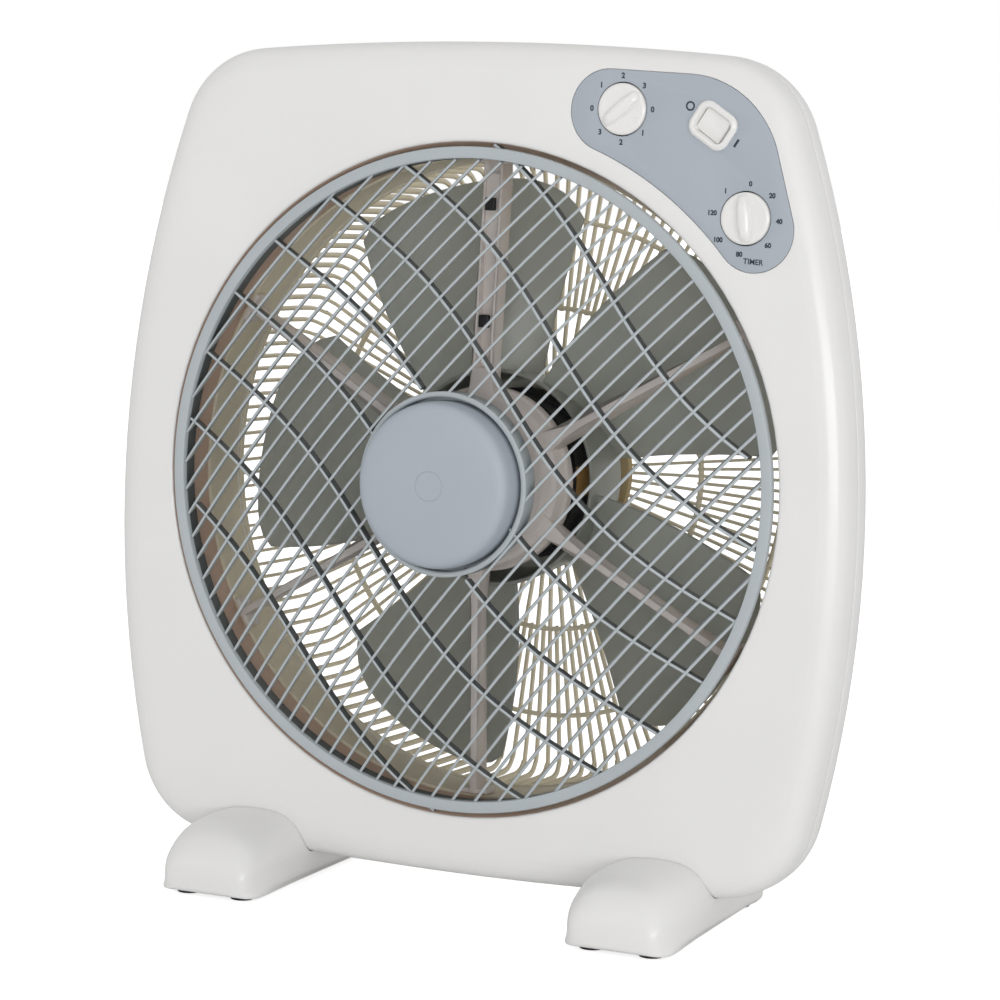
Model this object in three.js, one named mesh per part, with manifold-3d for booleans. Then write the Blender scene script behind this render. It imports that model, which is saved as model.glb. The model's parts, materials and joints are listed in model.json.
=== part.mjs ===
// Box fan on two feet, with a slowly turning domed louvre grille in front of a five-blade impeller.
// Millimetres, +Z up. The front faces -Y and +X is to the right of someone who looks at the front.
// The origin is on the floor, below the middle of the footprint.
import * as THREE from "three";
import { mergeVertices } from "three/addons/utils/BufferGeometryUtils.js";
import Module from "manifold-3d";

const wasm = await Module();
wasm.setup();

// ---- Driving dimensions ----------------------------------------------------------------------

const GAP = 0.3; // clearance between pieces that touch
const WALL = 2.6; // thickness of the moulded shells
const WIDE = 48; // facets round the duct, the rim and the guard
const ROUND = 32; // facets round the hubs and the motor

const AXIS_Z = 214.5; // height of the fan's axis above the floor
const FACE_Y = -28.7; // flat front face of the body
const PARTING_Y = -10; // where the front shell meets the rear shell
const BACK_Y = 28; // flat rear face of the rear shell
const GUARD_Y = 79; // rearmost face of the guard

// The body's outline is four shallow arcs joined by corner arcs.
const BODY = {
  halfWidth: 201,
  widestZ: 195.5,
  bottomZ: 16,
  topZ: 431,
  sideR: 607,
  topR: 1684,
  bottomR: 2053,
  topCornerR: 48,
  bottomCornerR: 46,
};
// How far the outline shrinks with depth, as [y, inset]: first the front edge, then the rear.
const FRONT_EDGE = [[0, 13], [0.9, 8], [3.2, 3.6], [7.5, 1], [14, 0]].map(([y, inset]) => [FACE_Y + y, inset]);
const REAR_EDGE = [[0, 0.4], [7, 2.4], [14, 7], [20, 14], [25, 24], [BACK_Y, 34]];

const APERTURE_R = 167.4;
const FRONT_DUCT = { r: 161.2, wall: 2.4, rearY: -3 };
const REAR_DUCT = { r: 160, wall: 2.2 };

// The turning grille: a flat rim, and a domed lattice of slats and ribs round a hub ring.
const RIM = { r: 165, width: 6.4, depth: 9, flange: 3.2, wall: 2, frontY: FACE_Y - 2.3 };
const HUB_RING = { r: 45.5, width: 2.6, depth: 11 };
const DOME_HEIGHT = 22;
const PATTERN_ANGLE = THREE.MathUtils.degToRad(49); // direction that the slats run in, from +X
const SLATS = { each_side: 16, pitch: 9.33, thickness: 1.5, depth: 6, lean: 0.3, bow: 1.67e-4 };
const RIBS = { count: 8, pitch: 35.46, thickness: 1.7, depth: 3, setBack: 7.6, wave: 10.4, waveLength: 293 };
const HUB_CAP = { r: 41, frontY: FACE_Y - 36.3, wall: 2.2 };

const SPIDER = { hubFrontY: -26, hubR: 47.6, hubRearY: -1, reach: REAR_DUCT.r - GAP, ribWidth: 3.2 };
const ARM_FOOT = { width: 16, depth: 11.5, thickness: 2.4 }; // where an arm meets the duct
const CHANNEL = { width: 10.5, wall: 1.5 };
const ARM_ANGLES = [90, 150, 210, 270, 330, 30]; // degrees from +X; the first arm is the cable channel

const BLADES = { count: 5, tipR: 151, first: 36, thickness: 2, deepY: 50 };
const IMPELLER_HUB = { r: 54.5, rearR: 51, wall: 2, frontY: 11, rearY: 53, bossY: 54.2 };
const SHAFT_R = 4;
const MOTOR = { r: 44.2, frontY: -0.4, rearY: 44, coreR: 42.6, coreFrontY: 14.3, coreRearY: 30 };

const GUARD = { ribs: 24, splitR: 84, ringR: 129, hubR: 45, bendR: 158, ribWidth: 2, depth: 5 };

// The control panel is a band that follows the aperture between two round ends.
const PANEL = { thickness: 1.5, innerR: 177.8, endR: 19.8, cornerX: 112, cornerZ: 152.5, cornerR: 49.5 };
const PANEL_ENDS = { upper: 68.6, lower: 40.8 }; // degrees round the fan's axis
const PANEL_TANGENTS = { top: 87, side: 15 }; // degrees, where the corner arc starts and ends
const SPEED_KNOB = { x: 79.1, z: AXIS_Z + 184.8, grip: 40 };
const TIMER_KNOB = { x: 144.8, z: AXIS_Z + 134.8, grip: 96 };
const KNOB = { r: 12.5, frontY: FACE_Y - 1.3, rearY: -15, gripHeight: 3, gripWidth: 5.5, hole: 13.4 };
const SWITCH_BODY = { side: 30, frontY: FACE_Y + 4.4, rearY: -2, pocketR: 13.4, pocketY: -13 };
const ROCKER = { x: 126.8, z: AXIS_Z + 178, turn: -33, length: 22.6, height: 18.9, tilt: 6, pivotY: -24 };

const FOOT = { x: 112, base: 2 };
const PAD = { r: 6, height: 4, frontY: -67, rearY: 64, frontSpread: 15.5, rearSpread: 6.5 };
const FOOT_SCREW_Y = [-19, 6];
const CASE_SCREW = { x: 105, dz: 163 };
const GLAND = { x: 95, z: 68 };

// ---- Solids ----------------------------------------------------------------------------------

// A closed three.js geometry as a manifold-3d solid, its faces turned outwards.
function solid(geometry) {
  const bare = geometry.index ? geometry.toNonIndexed() : geometry.clone();
  bare.deleteAttribute("normal");
  bare.deleteAttribute("uv");
  const merged = mergeVertices(bare, 1e-4);
  const triVerts = new Uint32Array(merged.index.array);
  const vertProperties = merged.attributes.position.array;
  const made = new wasm.Manifold(new wasm.Mesh({ numProp: 3, vertProperties, triVerts }));
  if (made.volume() > 0) return made;
  const flipped = triVerts.slice().reverse();
  return new wasm.Manifold(new wasm.Mesh({ numProp: 3, vertProperties, triVerts: flipped }));
}

function geometryOf(made) {
  const mesh = made.simplify(0.01).getMesh();
  const geometry = new THREE.BufferGeometry();
  geometry.setAttribute("position", new THREE.BufferAttribute(new Float32Array(mesh.vertProperties), 3));
  geometry.setIndex(new THREE.BufferAttribute(new Uint32Array(mesh.triVerts), 1));
  geometry.computeVertexNormals();
  return geometry;
}

const join = (solids) => solids.reduce((whole, next) => whole.add(next));
const cut = (whole, tools) => tools.reduce((left, tool) => left.subtract(tool), whole);

// A box from its size and its middle.
const box = (w, d, h, x, y, z) => solid(new THREE.BoxGeometry(w, d, h).translate(x, y, z));

// A closed [radius, y] profile turned round a line along Y, by default the fan's axis.
function turned(profile, { x = 0, z = AXIS_Z, segments = ROUND } = {}) {
  const points = profile.map(([r, y]) => new THREE.Vector2(r, y));
  if (profile[0][0] > 0 || profile.at(-1)[0] > 0) points.push(points[0].clone());
  return solid(new THREE.LatheGeometry(points, segments).translate(x, 0, z));
}

// A tube, or a disc when the inner radius is 0, along Y.
function tube(inner, outer, y0, y1, options) {
  const profile = inner > 0
    ? [[inner, y0], [outer, y0], [outer, y1], [inner, y1]]
    : [[0, y0], [outer, y0], [outer, y1], [0, y1]];
  return turned(profile, options);
}

// A shape drawn in X and Z, pushed from y0 to y1.
function plate(shape, y0, y1, curveSegments = 10) {
  const geometry = new THREE.ExtrudeGeometry(shape, { depth: y1 - y0, bevelEnabled: false, curveSegments });
  return solid(geometry.rotateX(Math.PI / 2).translate(0, y1, 0));
}

// Sections of equally many [x, z] points, counter-clockwise from the front, skinned from front to rear.
function loft(sections) {
  const n = sections[0].points.length;
  const positions = sections.flatMap(({ y, points }) => points.flatMap(([x, z]) => [x, y, z]));
  const index = [];
  for (let i = 0; i + 1 < sections.length; i++) {
    for (let j = 0; j < n; j++) {
      const a = i * n + j;
      const b = i * n + ((j + 1) % n);
      index.push(a, a + n, b, b, a + n, b + n);
    }
  }
  const end = (sections.length - 1) * n;
  const flat = sections[0].points.map(([x, z]) => new THREE.Vector2(x, z));
  for (const [a, b, c] of THREE.ShapeUtils.triangulateShape(flat, [])) {
    index.push(a, b, c, end + a, end + c, end + b);
  }
  const geometry = new THREE.BufferGeometry();
  geometry.setAttribute("position", new THREE.Float32BufferAttribute(positions, 3));
  geometry.setIndex(index);
  return solid(geometry);
}

// Moves every vertex of a geometry by a function of its position.
function warp(geometry, move) {
  const p = geometry.attributes.position;
  for (let i = 0; i < p.count; i++) p.setXYZ(i, ...move(p.getX(i), p.getY(i), p.getZ(i)));
  return geometry;
}

const polar = (r, degrees) => {
  const a = THREE.MathUtils.degToRad(degrees);
  return [r * Math.cos(a), r * Math.sin(a)];
};

// ---- Body outline ----------------------------------------------------------------------------

// The middle of a corner arc of radius r that touches a side arc and an end arc from inside.
function cornerCentre(side, end, r, towardsTop) {
  const [a, b] = [side.r - r, end.r - r];
  const [dx, dz] = [end.x - side.x, end.z - side.z];
  const d = Math.hypot(dx, dz);
  const along = (a * a - b * b + d * d) / (2 * d);
  const across = Math.sqrt(a * a - along * along) * (towardsTop ? 1 : -1);
  const sign = dz < 0 ? 1 : -1;
  return {
    x: side.x + (along * dx) / d - (sign * across * dz) / d,
    z: side.z + (along * dz) / d + (sign * across * dx) / d,
    r,
  };
}

const SIDE = { x: BODY.halfWidth - BODY.sideR, z: BODY.widestZ, r: BODY.sideR };
const TOP = { x: 0, z: BODY.topZ - BODY.topR, r: BODY.topR };
const BOTTOM = { x: 0, z: BODY.bottomZ + BODY.bottomR, r: BODY.bottomR };
const TOP_CORNER = cornerCentre(SIDE, TOP, BODY.topCornerR, true);
const BOTTOM_CORNER = cornerCentre(SIDE, BOTTOM, BODY.bottomCornerR, true);

const heading = (from, to) => Math.atan2(to.z - from.z, to.x - from.x);

// The outline shrunk by an inset, as [x, z] points counter-clockwise from the middle of the bottom.
function outline(inset) {
  const arcs = [
    [BOTTOM, -Math.PI / 2, heading(BOTTOM, BOTTOM_CORNER), 2],
    [BOTTOM_CORNER, heading(BOTTOM, BOTTOM_CORNER), heading(SIDE, BOTTOM_CORNER), 4],
    [SIDE, heading(SIDE, BOTTOM_CORNER), heading(SIDE, TOP_CORNER), 5],
    [TOP_CORNER, heading(SIDE, TOP_CORNER), heading(TOP, TOP_CORNER), 4],
    [TOP, heading(TOP, TOP_CORNER), Math.PI / 2, 2],
  ];
  const right = [];
  for (const [arc, from, to, steps] of arcs) {
    for (let i = 0; i < steps; i++) {
      const a = from + ((to - from) * i) / steps;
      right.push([arc.x + (arc.r - inset) * Math.cos(a), arc.z + (arc.r - inset) * Math.sin(a)]);
    }
  }
  const left = right.slice(1).reverse().map(([x, z]) => [-x, z]);
  return [...right, [0, BODY.topZ - inset], ...left];
}

const skin = (edges, extra = 0) => loft(edges.map(([y, inset]) => ({ y, points: outline(inset + extra) })));

// ---- Housing ---------------------------------------------------------------------------------

const SIDES = [-1, 1];
const CASE_SCREW_PLACES = SIDES.flatMap((sx) => {
  return SIDES.map((sz) => [sx * CASE_SCREW.x, AXIS_Z + sz * CASE_SCREW.dz]);
});
const FOOT_SCREW_PLACES = SIDES.flatMap((sx) => FOOT_SCREW_Y.map((y) => [sx * FOOT.x, y]));
const post = (r, y0, y1, [x, z]) => tube(0, r, y0, y1, { x, z, segments: 12 });
const upright = (r, z0, z1, [x, y]) =>
  solid(new THREE.CylinderGeometry(r, r, z1 - z0, 12).rotateX(Math.PI / 2).translate(x, y, (z0 + z1) / 2));

const { bottomZ } = BODY;
const footScrewHoles = () => FOOT_SCREW_PLACES.map((place) => upright(2.1, bottomZ - 2, bottomZ + 14, place));
const knobHoles = (y0, y1) => {
  return [SPEED_KNOB, TIMER_KNOB].map(({ x, z }) => tube(0, KNOB.hole, y0, y1, { x, z, segments: 24 }));
};
const rockerHole = (y0, y1) => rockerPlate(18.6, 15.6, 4, y0, y1);

function frontShell() {
  const outside = skin([...FRONT_EDGE, [PARTING_Y, 0]]);
  const room = FRONT_EDGE.map(([y, inset]) => [y + WALL + 0.6, inset]);
  const inside = skin([...room.slice(0, 4), [PARTING_Y + 1, 0]], WALL);
  const duct = turned(
    [
      [APERTURE_R, FACE_Y + 1],
      [APERTURE_R + FRONT_DUCT.wall, FACE_Y + 1],
      [FRONT_DUCT.r + FRONT_DUCT.wall, FRONT_DUCT.rearY],
      [FRONT_DUCT.r, FRONT_DUCT.rearY],
    ],
    { segments: WIDE },
  );
  const opening = tube(0, APERTURE_R, FACE_Y - 1, FACE_Y + 5, { segments: WIDE });
  const posts = CASE_SCREW_PLACES.map((place) => post(4.5, FACE_Y + 3, -12, place));
  const pilots = CASE_SCREW_PLACES.map((place) => post(2.1, FACE_Y + 5, -11, place));
  const controls = [
    plate(panelShape(GAP), FACE_Y - 1, FACE_Y + PANEL.thickness + GAP, 8),
    ...knobHoles(FACE_Y, FACE_Y + 5),
    rockerHole(FACE_Y, FACE_Y + 5),
  ];
  const shell = cut(outside, [inside, opening]).add(duct);
  return cut(join([shell, ...posts]), [...pilots, ...controls, ...footScrewHoles()]);
}

function rearShell() {
  const outside = skin([[PARTING_Y + GAP, 0], ...REAR_EDGE]);
  const room = REAR_EDGE.map(([y, inset]) => [y - (WALL * inset) / 34, inset]);
  const inside = skin([[PARTING_Y - 1, 0], ...room], WALL);
  const { r, wall } = REAR_DUCT;
  const duct = tube(r, r + wall, FRONT_DUCT.rearY + GAP, BACK_Y - 1, { segments: WIDE });
  const opening = tube(0, r, 0, BACK_Y + 1, { segments: WIDE });
  const bosses = CASE_SCREW_PLACES.map((place) => post(6, -11.7, BACK_Y - 2.5, place));
  const bores = CASE_SCREW_PLACES.flatMap((place) => {
    return [post(2.1, -13, 20, place), post(4.3, 14, BACK_Y + 1, place)];
  });
  const gland = tube(0, 5.8, 15, BACK_Y + 1, { x: GLAND.x, z: GLAND.z, segments: 16 });
  const shell = cut(outside, [inside, opening]);
  return cut(join([shell, duct, ...bosses]), [...bores, gland, ...footScrewHoles()]);
}

// One guard rib: it runs out over the rear and bends forward to the mouth.
function guardRib(index) {
  const from = index % 2 ? GUARD.splitR : GUARD.hubR - 1;
  const { bendR, depth } = GUARD;
  const rear = GUARD_Y;
  const path = new THREE.Shape();
  path.moveTo(from, rear);
  path.lineTo(bendR - 5, rear);
  path.lineTo(bendR + 4, rear - 11);
  path.lineTo(bendR + 4, BACK_Y + GAP + 1);
  path.lineTo(bendR, BACK_Y + GAP + 1);
  path.lineTo(bendR, rear - 13);
  path.lineTo(bendR - 7, rear - depth);
  path.lineTo(from, rear - depth);
  const strip = new THREE.ExtrudeGeometry(path, { depth: GUARD.ribWidth, bevelEnabled: false });
  strip.translate(0, 0, -GUARD.ribWidth / 2).rotateY(((index + 0.5) * 2 * Math.PI) / GUARD.ribs);
  return solid(strip.translate(0, 0, AXIS_Z));
}

function rearGuard() {
  const options = { segments: WIDE };
  const ring = (r) => tube(r - 1.3, r + 1.3, GUARD_Y - 4.4, GUARD_Y - 0.6, options);
  const mouth = tube(GUARD.bendR, GUARD.bendR + 5, BACK_Y + GAP, BACK_Y + 3.5, options);
  const disc = tube(0, GUARD.hubR, GUARD_Y - 4, GUARD_Y - 0.6, options);
  const ribs = Array.from({ length: GUARD.ribs }, (_, i) => guardRib(i));
  return join([mouth, disc, ring(GUARD.splitR), ring(GUARD.ringR), ...ribs]);
}

function caseScrew([x, z]) {
  const profile = [[0, 16.9], [3.9, 16.9], [3.9, 14.3], [1.7, 14.3], [1.7, -16.7], [0, -16.7]];
  return turned(profile, { x, z, segments: 10 });
}

function cordGland() {
  const seat = BACK_Y + GAP;
  const profile = [[3.4, 20], [5.4, 20], [5.4, seat], [8, seat], [6.4, seat + 5.7], [3.4, seat + 5.7]];
  return turned(profile, { x: GLAND.x, z: GLAND.z, segments: 16 });
}

// ---- Feet ------------------------------------------------------------------------------------

// Where a foot is cut, from front to rear: [y, half width, half width at the bottom, lowest z, highest z].
const FOOT_STATIONS = [
  [-81, 15, 14, 5, 13],
  [-80, 20.5, 19.5, 3.4, 19.5],
  [-77, 24, 24.5, 2.3, 26],
  [-71, 26.5, 27.7, FOOT.base, 32],
  [-60, 28.8, 27.2, FOOT.base, 36.5],
  [-45, 29.6, 25.4, FOOT.base, 38.5],
  [-29, 29.2, 23.6, FOOT.base, 38.8],
  [0, 27.5, 20.8, FOOT.base, 38],
  [30, 25, 18, FOOT.base, 34],
  [56, 20.5, 15.6, FOOT.base, 26],
  [72, 17, 15, FOOT.base, 16.5],
  [81, 10.5, 9.5, 4, 9],
];

// A foot's cross-section: an eased lower edge, flared sides and a domed top, from the lower right.
function footSection(half, bottomHalf, low, high) {
  const spread = half - bottomHalf;
  const sides = [[0.1, 0.06], [0.85, 0.2], [1, 0.42]].map(([t, v]) => [bottomHalf + spread * t, v]);
  const flare = [[bottomHalf - 2, 0], ...sides];
  const crown = [[0.93, 0.65], [0.73, 0.865], [0.36, 0.985]].map(([t, v]) => [half * t, v]);
  const right = [...flare, ...crown].map(([x, v]) => [x, low + v * (high - low)]);
  return [...right, ...right.map(([x, z]) => [-x, z]).reverse()];
}

function foot(side) {
  const { base } = FOOT;
  const body = loft(
    FOOT_STATIONS.map(([y, ...sizes]) => ({
      y,
      points: footSection(...sizes).map(([x, z]) => [x + side * FOOT.x, z]),
    })),
  );
  const front = FRONT_EDGE.map(([y, inset]) => [y - GAP, inset]);
  const rear = REAR_EDGE.map(([y, inset]) => [y + GAP, inset]);
  const nest = skin([...front, [PARTING_Y, 0], ...rear], -GAP);
  const guard = tube(0, GUARD.bendR + 6, BACK_Y - 5, GUARD_Y + 5, { segments: WIDE });
  const padSeats = padPlaces(side).map((place) => upright(PAD.r + GAP, base - 2, PAD.height + GAP, place));
  const screwHoles = FOOT_SCREW_Y.flatMap((y) => {
    const place = [side * FOOT.x, y];
    return [upright(2.1, base - 2, BODY.bottomZ + 8, place), upright(4.2, base - 2, 9, place)];
  });
  return cut(body, [nest, guard, ...padSeats, ...screwHoles]);
}

const PAD_ROWS = [[PAD.frontY, PAD.frontSpread], [PAD.rearY, PAD.rearSpread]];
const padPlaces = (side) => {
  return PAD_ROWS.flatMap(([y, spread]) => SIDES.map((s) => [side * FOOT.x + s * spread, y]));
};

function footScrew([x, y]) {
  const head = upright(3.7, 6, 8.7, [x, y]);
  return head.add(upright(1.7, 8, BODY.bottomZ + 12, [x, y]));
}

// ---- Turning grille --------------------------------------------------------------------------

const domeAt = (r) => DOME_HEIGHT * (1 - (r / (RIM.r - RIM.width)) ** 2);

// Pattern coordinates to space: u across the slats, v along them, and the depth behind the dome.
function latticePoint(u, v, depth, lean) {
  const y = RIM.frontY - domeAt(Math.hypot(u, v)) + depth;
  const s = u - lean * depth;
  const [c, d] = [Math.cos(PATTERN_ANGLE), Math.sin(PATTERN_ANGLE)];
  return [s * d + v * c, y, AXIS_Z - s * c + v * d];
}

function slat(k) {
  const u0 = k * SLATS.pitch;
  const half = Math.sqrt((RIM.r - 3) ** 2 - u0 ** 2);
  const strip = new THREE.BoxGeometry(SLATS.thickness, SLATS.depth, 2 * half, 1, 1, half > 100 ? 4 : 2);
  const bent = warp(strip, (a, b, v) => {
    return latticePoint(u0 + a + SLATS.bow * v * v, v, b + SLATS.depth / 2, SLATS.lean);
  });
  return solid(bent);
}

function rib(k) {
  const v0 = (k - (RIBS.count - 1) / 2) * RIBS.pitch;
  const half = Math.sqrt((RIM.r - 4) ** 2 - v0 ** 2);
  const strip = new THREE.BoxGeometry(2 * half, RIBS.depth, RIBS.thickness, 6, 1, 1);
  const bent = warp(strip, (u, b, a) => {
    const v = v0 + a - RIBS.wave * Math.sin((2 * Math.PI * u) / RIBS.waveLength);
    return latticePoint(u, v, b + RIBS.depth / 2 + RIBS.setBack, 0);
  });
  return solid(bent);
}

function louvreGrille() {
  const slats = Array.from({ length: 2 * SLATS.each_side + 1 }, (_, i) => slat(i - SLATS.each_side));
  const ribs = Array.from({ length: RIBS.count }, (_, k) => rib(k));
  const hubFront = RIM.frontY - domeAt(HUB_RING.r) - 0.4;
  const core = tube(0, HUB_RING.r - 1, hubFront - 20, hubFront + 30);
  const reach = RIM.r - RIM.width + RIM.wall / 2;
  const beyond = tube(reach, RIM.r + 20, RIM.frontY - 20, RIM.frontY + 30, { segments: WIDE });
  const lattice = cut(join([...slats, ...ribs]), [core, beyond]);
  const rimInside = RIM.r - RIM.width;
  const rim = turned(
    [
      [rimInside, RIM.frontY],
      [RIM.r, RIM.frontY],
      [RIM.r, RIM.frontY + RIM.flange],
      [rimInside + RIM.wall, RIM.frontY + RIM.flange],
      [rimInside + RIM.wall, RIM.frontY + RIM.depth],
      [rimInside, RIM.frontY + RIM.depth],
    ],
    { segments: WIDE },
  );
  const bore = SHAFT_R - 0.2;
  const hub = turned([
    [HUB_RING.r, hubFront],
    [HUB_RING.r, hubFront + HUB_RING.depth],
    [9, hubFront + HUB_RING.depth],
    [9, hubFront + 22],
    [bore, hubFront + 22],
    [bore, hubFront + HUB_RING.depth - 2],
    [HUB_RING.r - HUB_RING.width, hubFront + HUB_RING.depth - 2],
    [HUB_RING.r - HUB_RING.width, hubFront],
  ]);
  return join([rim, hub, lattice]);
}

const GRILLE_DISC_Y = RIM.frontY - domeAt(HUB_RING.r) - 0.4 + HUB_RING.depth - 2;

function hubCap() {
  const { r, frontY, wall } = HUB_CAP;
  const rear = GRILLE_DISC_Y - GAP;
  return turned([
    [0, frontY],
    [r * 0.7, frontY + 0.3],
    [r - 4, frontY + 1.6],
    [r - 1, frontY + 4.6],
    [r, frontY + 9],
    [r, rear],
    [r - wall, rear],
    [r - wall, frontY + 9],
    [r - 5, frontY + 4],
    [0, frontY + wall],
  ]);
}

function grilleShaft() {
  const seat = GRILLE_DISC_Y - GAP;
  const profile = [[0, seat - 3], [6.5, seat - 3], [6.5, seat], [3.5, seat], [3.5, -17], [0, -17]];
  return turned(profile, { segments: 16 });
}

function grilleMotor() {
  return turned([[0, -16.5], [3.8, -16.5], [3.8, -23.1], [24, -23.1], [24, -11], [0, -11]], { segments: 32 });
}

// ---- Front spider ----------------------------------------------------------------------------

// An arm drawn along +X from the hub to the duct, its front edge set further back at the duct.
function armProfile() {
  const side = new THREE.Shape();
  const { reach } = SPIDER;
  side.moveTo(34, -14);
  side.lineTo(45, -11.5);
  side.lineTo(reach - 12, -5.5);
  side.lineTo(reach, -5.5);
  side.lineTo(reach, 6);
  side.lineTo(reach - 12, 7);
  side.lineTo(46, -1);
  side.lineTo(40, -6);
  return side;
}

function arm(degrees, width) {
  const blade = new THREE.ExtrudeGeometry(armProfile(), { depth: width, bevelEnabled: false });
  blade.translate(0, 0, -width / 2);
  const { thickness, depth, width: footWidth } = ARM_FOOT;
  const pad = new THREE.BoxGeometry(thickness, depth, footWidth).translate(SPIDER.reach - 2, 0.25, 0);
  const whole = solid(blade).add(solid(pad));
  return solid(geometryOf(whole).rotateY(-THREE.MathUtils.degToRad(degrees)).translate(0, 0, AXIS_Z));
}

function frontSpider() {
  const { hubFrontY, hubR, hubRearY } = SPIDER;
  const hub = turned([
    [4.5, hubFrontY],
    [30, hubFrontY],
    [34, hubFrontY + 3],
    [hubR - 1, hubRearY - 3],
    [hubR, hubRearY],
    [hubR - 2.4, hubRearY],
    [hubR - 3.2, hubRearY - 3.5],
    [31.5, hubFrontY + 4],
    [29, hubFrontY + WALL],
    [4.5, hubFrontY + WALL],
  ]);
  const arms = ARM_ANGLES.map((angle, i) => arm(angle, i ? SPIDER.ribWidth : CHANNEL.width));
  const [mouthY, floorY] = [hubRearY + 1, hubFrontY + 4];
  const hollow = turned([[0, mouthY], [hubR - 2.4, mouthY], [31.5, floorY], [0, floorY]]);
  const grooveWidth = CHANNEL.width - 2 * CHANNEL.wall;
  const groove = box(grooveWidth, 14, 96, 0, 3.5, AXIS_Z + 104);
  const round = tube(0, SPIDER.reach, hubFrontY - 1, 20, { segments: WIDE });
  return cut(join([hub, ...arms]), [hollow, groove]).intersect(round);
}

const wireClip = (dz, y) => box(4.6, 1.6, 5.6, 0, y, AXIS_Z + dz);

// ---- Motor and impeller ----------------------------------------------------------------------

function motorFrontBracket() {
  const { r, frontY, coreR } = MOTOR;
  const cup = turned([[10, frontY], [r, frontY], [r, 11], [coreR + GAP, 11], [coreR + GAP, 2], [10, 2]]);
  const windows = [0, 60, 120].map((degrees) => {
    const slot = new THREE.BoxGeometry(2 * r + 4, 7, 16).translate(0, 6, 0);
    return solid(slot.rotateY(THREE.MathUtils.degToRad(degrees)).translate(0, 0, AXIS_Z));
  });
  return cut(cup, windows);
}

function motorRearBracket() {
  const { r, rearY, coreR } = MOTOR;
  const inside = coreR + GAP;
  return turned([[9, rearY - 3], [inside, rearY - 3], [inside, 28], [r, 28], [r, rearY], [9, rearY]]);
}

// A coil end: a ring with chamfered edges.
function coil(y0, y1) {
  const [front, rear] = [y0 + 2, y1 - 2];
  const outside = [[30, y0], [39.6, y0], [42.4, front], [42.4, rear], [39.6, y1], [30, y1]];
  return turned([[27, front], ...outside, [27, rear]], { segments: 24 });
}

function impellerShaft() {
  return turned([[0, -6], [SHAFT_R, -6], [SHAFT_R, 66], [0, 66]], { segments: 16 });
}

function spinnerNut() {
  const bore = SHAFT_R + GAP;
  const seat = IMPELLER_HUB.bossY + GAP;
  const profile = [[0, 66.3], [bore, 66.3], [bore, seat], [12, seat], [12, 63], [8, 69], [0, 70.5]];
  return turned(profile, { segments: 24 });
}

// One blade: its deep rear edge leads, and it twists forward towards the edge that trails.
function blade(index) {
  const { tipR, first, thickness, count, deepY } = BLADES;
  const { r: hubR, rearR, frontY, rearY } = IMPELLER_HUB;
  const sheet = new THREE.BoxGeometry(1, 1, 1, 3, 1, 4);
  const bent = warp(sheet, (a, side, b) => {
    const [out, chord] = [a + 0.5, b + 0.5];
    const corner = b < 0 ? 18 * (2 * b) ** 4 : 7 * (2 * b) ** 8;
    const rootY = deepY - 36 * chord ** 0.9;
    const rootR = hubR - 1 - ((hubR - rearR) * (rootY - frontY)) / (rearY - frontY);
    const r = rootR + (tipR - corner - rootR) * out;
    const lead = -24 - 5 * out;
    const trail = 30 - 11 * out;
    const angle = THREE.MathUtils.degToRad(first + (index * 360) / count + lead + (trail - lead) * chord);
    const rise = (1 - out) * 36 * chord ** 0.9 + out * 28 * chord ** 1.3;
    return [r * Math.cos(angle), deepY - rise + side * thickness, AXIS_Z + r * Math.sin(angle)];
  });
  return solid(bent);
}

function impeller() {
  const { r, rearR, wall, frontY, rearY, bossY } = IMPELLER_HUB;
  const bore = SHAFT_R + GAP;
  const hub = turned([
    [r - wall, frontY],
    [r, frontY],
    [rearR, rearY - 3],
    [rearR - 3, rearY],
    [11, rearY],
    [11, bossY],
    [bore, bossY],
    [bore, 47],
    [11, 47],
    [11, rearY - 2.5],
    [rearR - wall, rearY - 4],
  ]);
  const blades = Array.from({ length: BLADES.count }, (_, i) => blade(i));
  return join([hub, ...blades]);
}

// ---- Controls --------------------------------------------------------------------------------

// The panel's outline, grown by a margin: two round ends, the inner arc and the outer corner arc.
function panelShape(margin = 0) {
  const { innerR, endR, cornerX, cornerZ, cornerR } = PANEL;
  const rad = THREE.MathUtils.degToRad;
  const [ux, uz] = polar(innerR + endR, PANEL_ENDS.upper);
  const [lx, lz] = polar(innerR + endR, PANEL_ENDS.lower);
  const { top, side } = PANEL_TANGENTS;
  const shape = new THREE.Shape();
  shape.absarc(ux, AXIS_Z + uz, endR + margin, rad(top), rad(PANEL_ENDS.upper + 180), false);
  shape.absarc(0, AXIS_Z, innerR - margin, rad(PANEL_ENDS.upper), rad(PANEL_ENDS.lower), true);
  shape.absarc(lx, AXIS_Z + lz, endR + margin, rad(PANEL_ENDS.lower + 180), rad(side + 360), false);
  shape.absarc(cornerX, AXIS_Z + cornerZ, cornerR + margin, rad(side), rad(top), false);
  return shape;
}

// A rounded rectangle pushed along Y and turned to the rocker switch's slant.
function rockerPlate(length, height, radius, y0, y1) {
  const [a, b, r] = [length / 2, height / 2, radius];
  const shape = new THREE.Shape();
  shape.absarc(a - r, b - r, r, 0, Math.PI / 2, false);
  shape.absarc(-a + r, b - r, r, Math.PI / 2, Math.PI, false);
  shape.absarc(-a + r, -b + r, r, Math.PI, 1.5 * Math.PI, false);
  shape.absarc(a - r, -b + r, r, 1.5 * Math.PI, 2 * Math.PI, false);
  const flat = geometryOf(plate(shape, y0, y1, 3));
  flat.rotateY(-THREE.MathUtils.degToRad(ROCKER.turn)).translate(ROCKER.x, 0, ROCKER.z);
  return solid(flat);
}

function controlPanel() {
  const face = plate(panelShape(), FACE_Y, FACE_Y + PANEL.thickness, 8);
  return cut(face, [...knobHoles(FACE_Y - 1, FACE_Y + 3), rockerHole(FACE_Y - 1, FACE_Y + 3)]);
}

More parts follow.
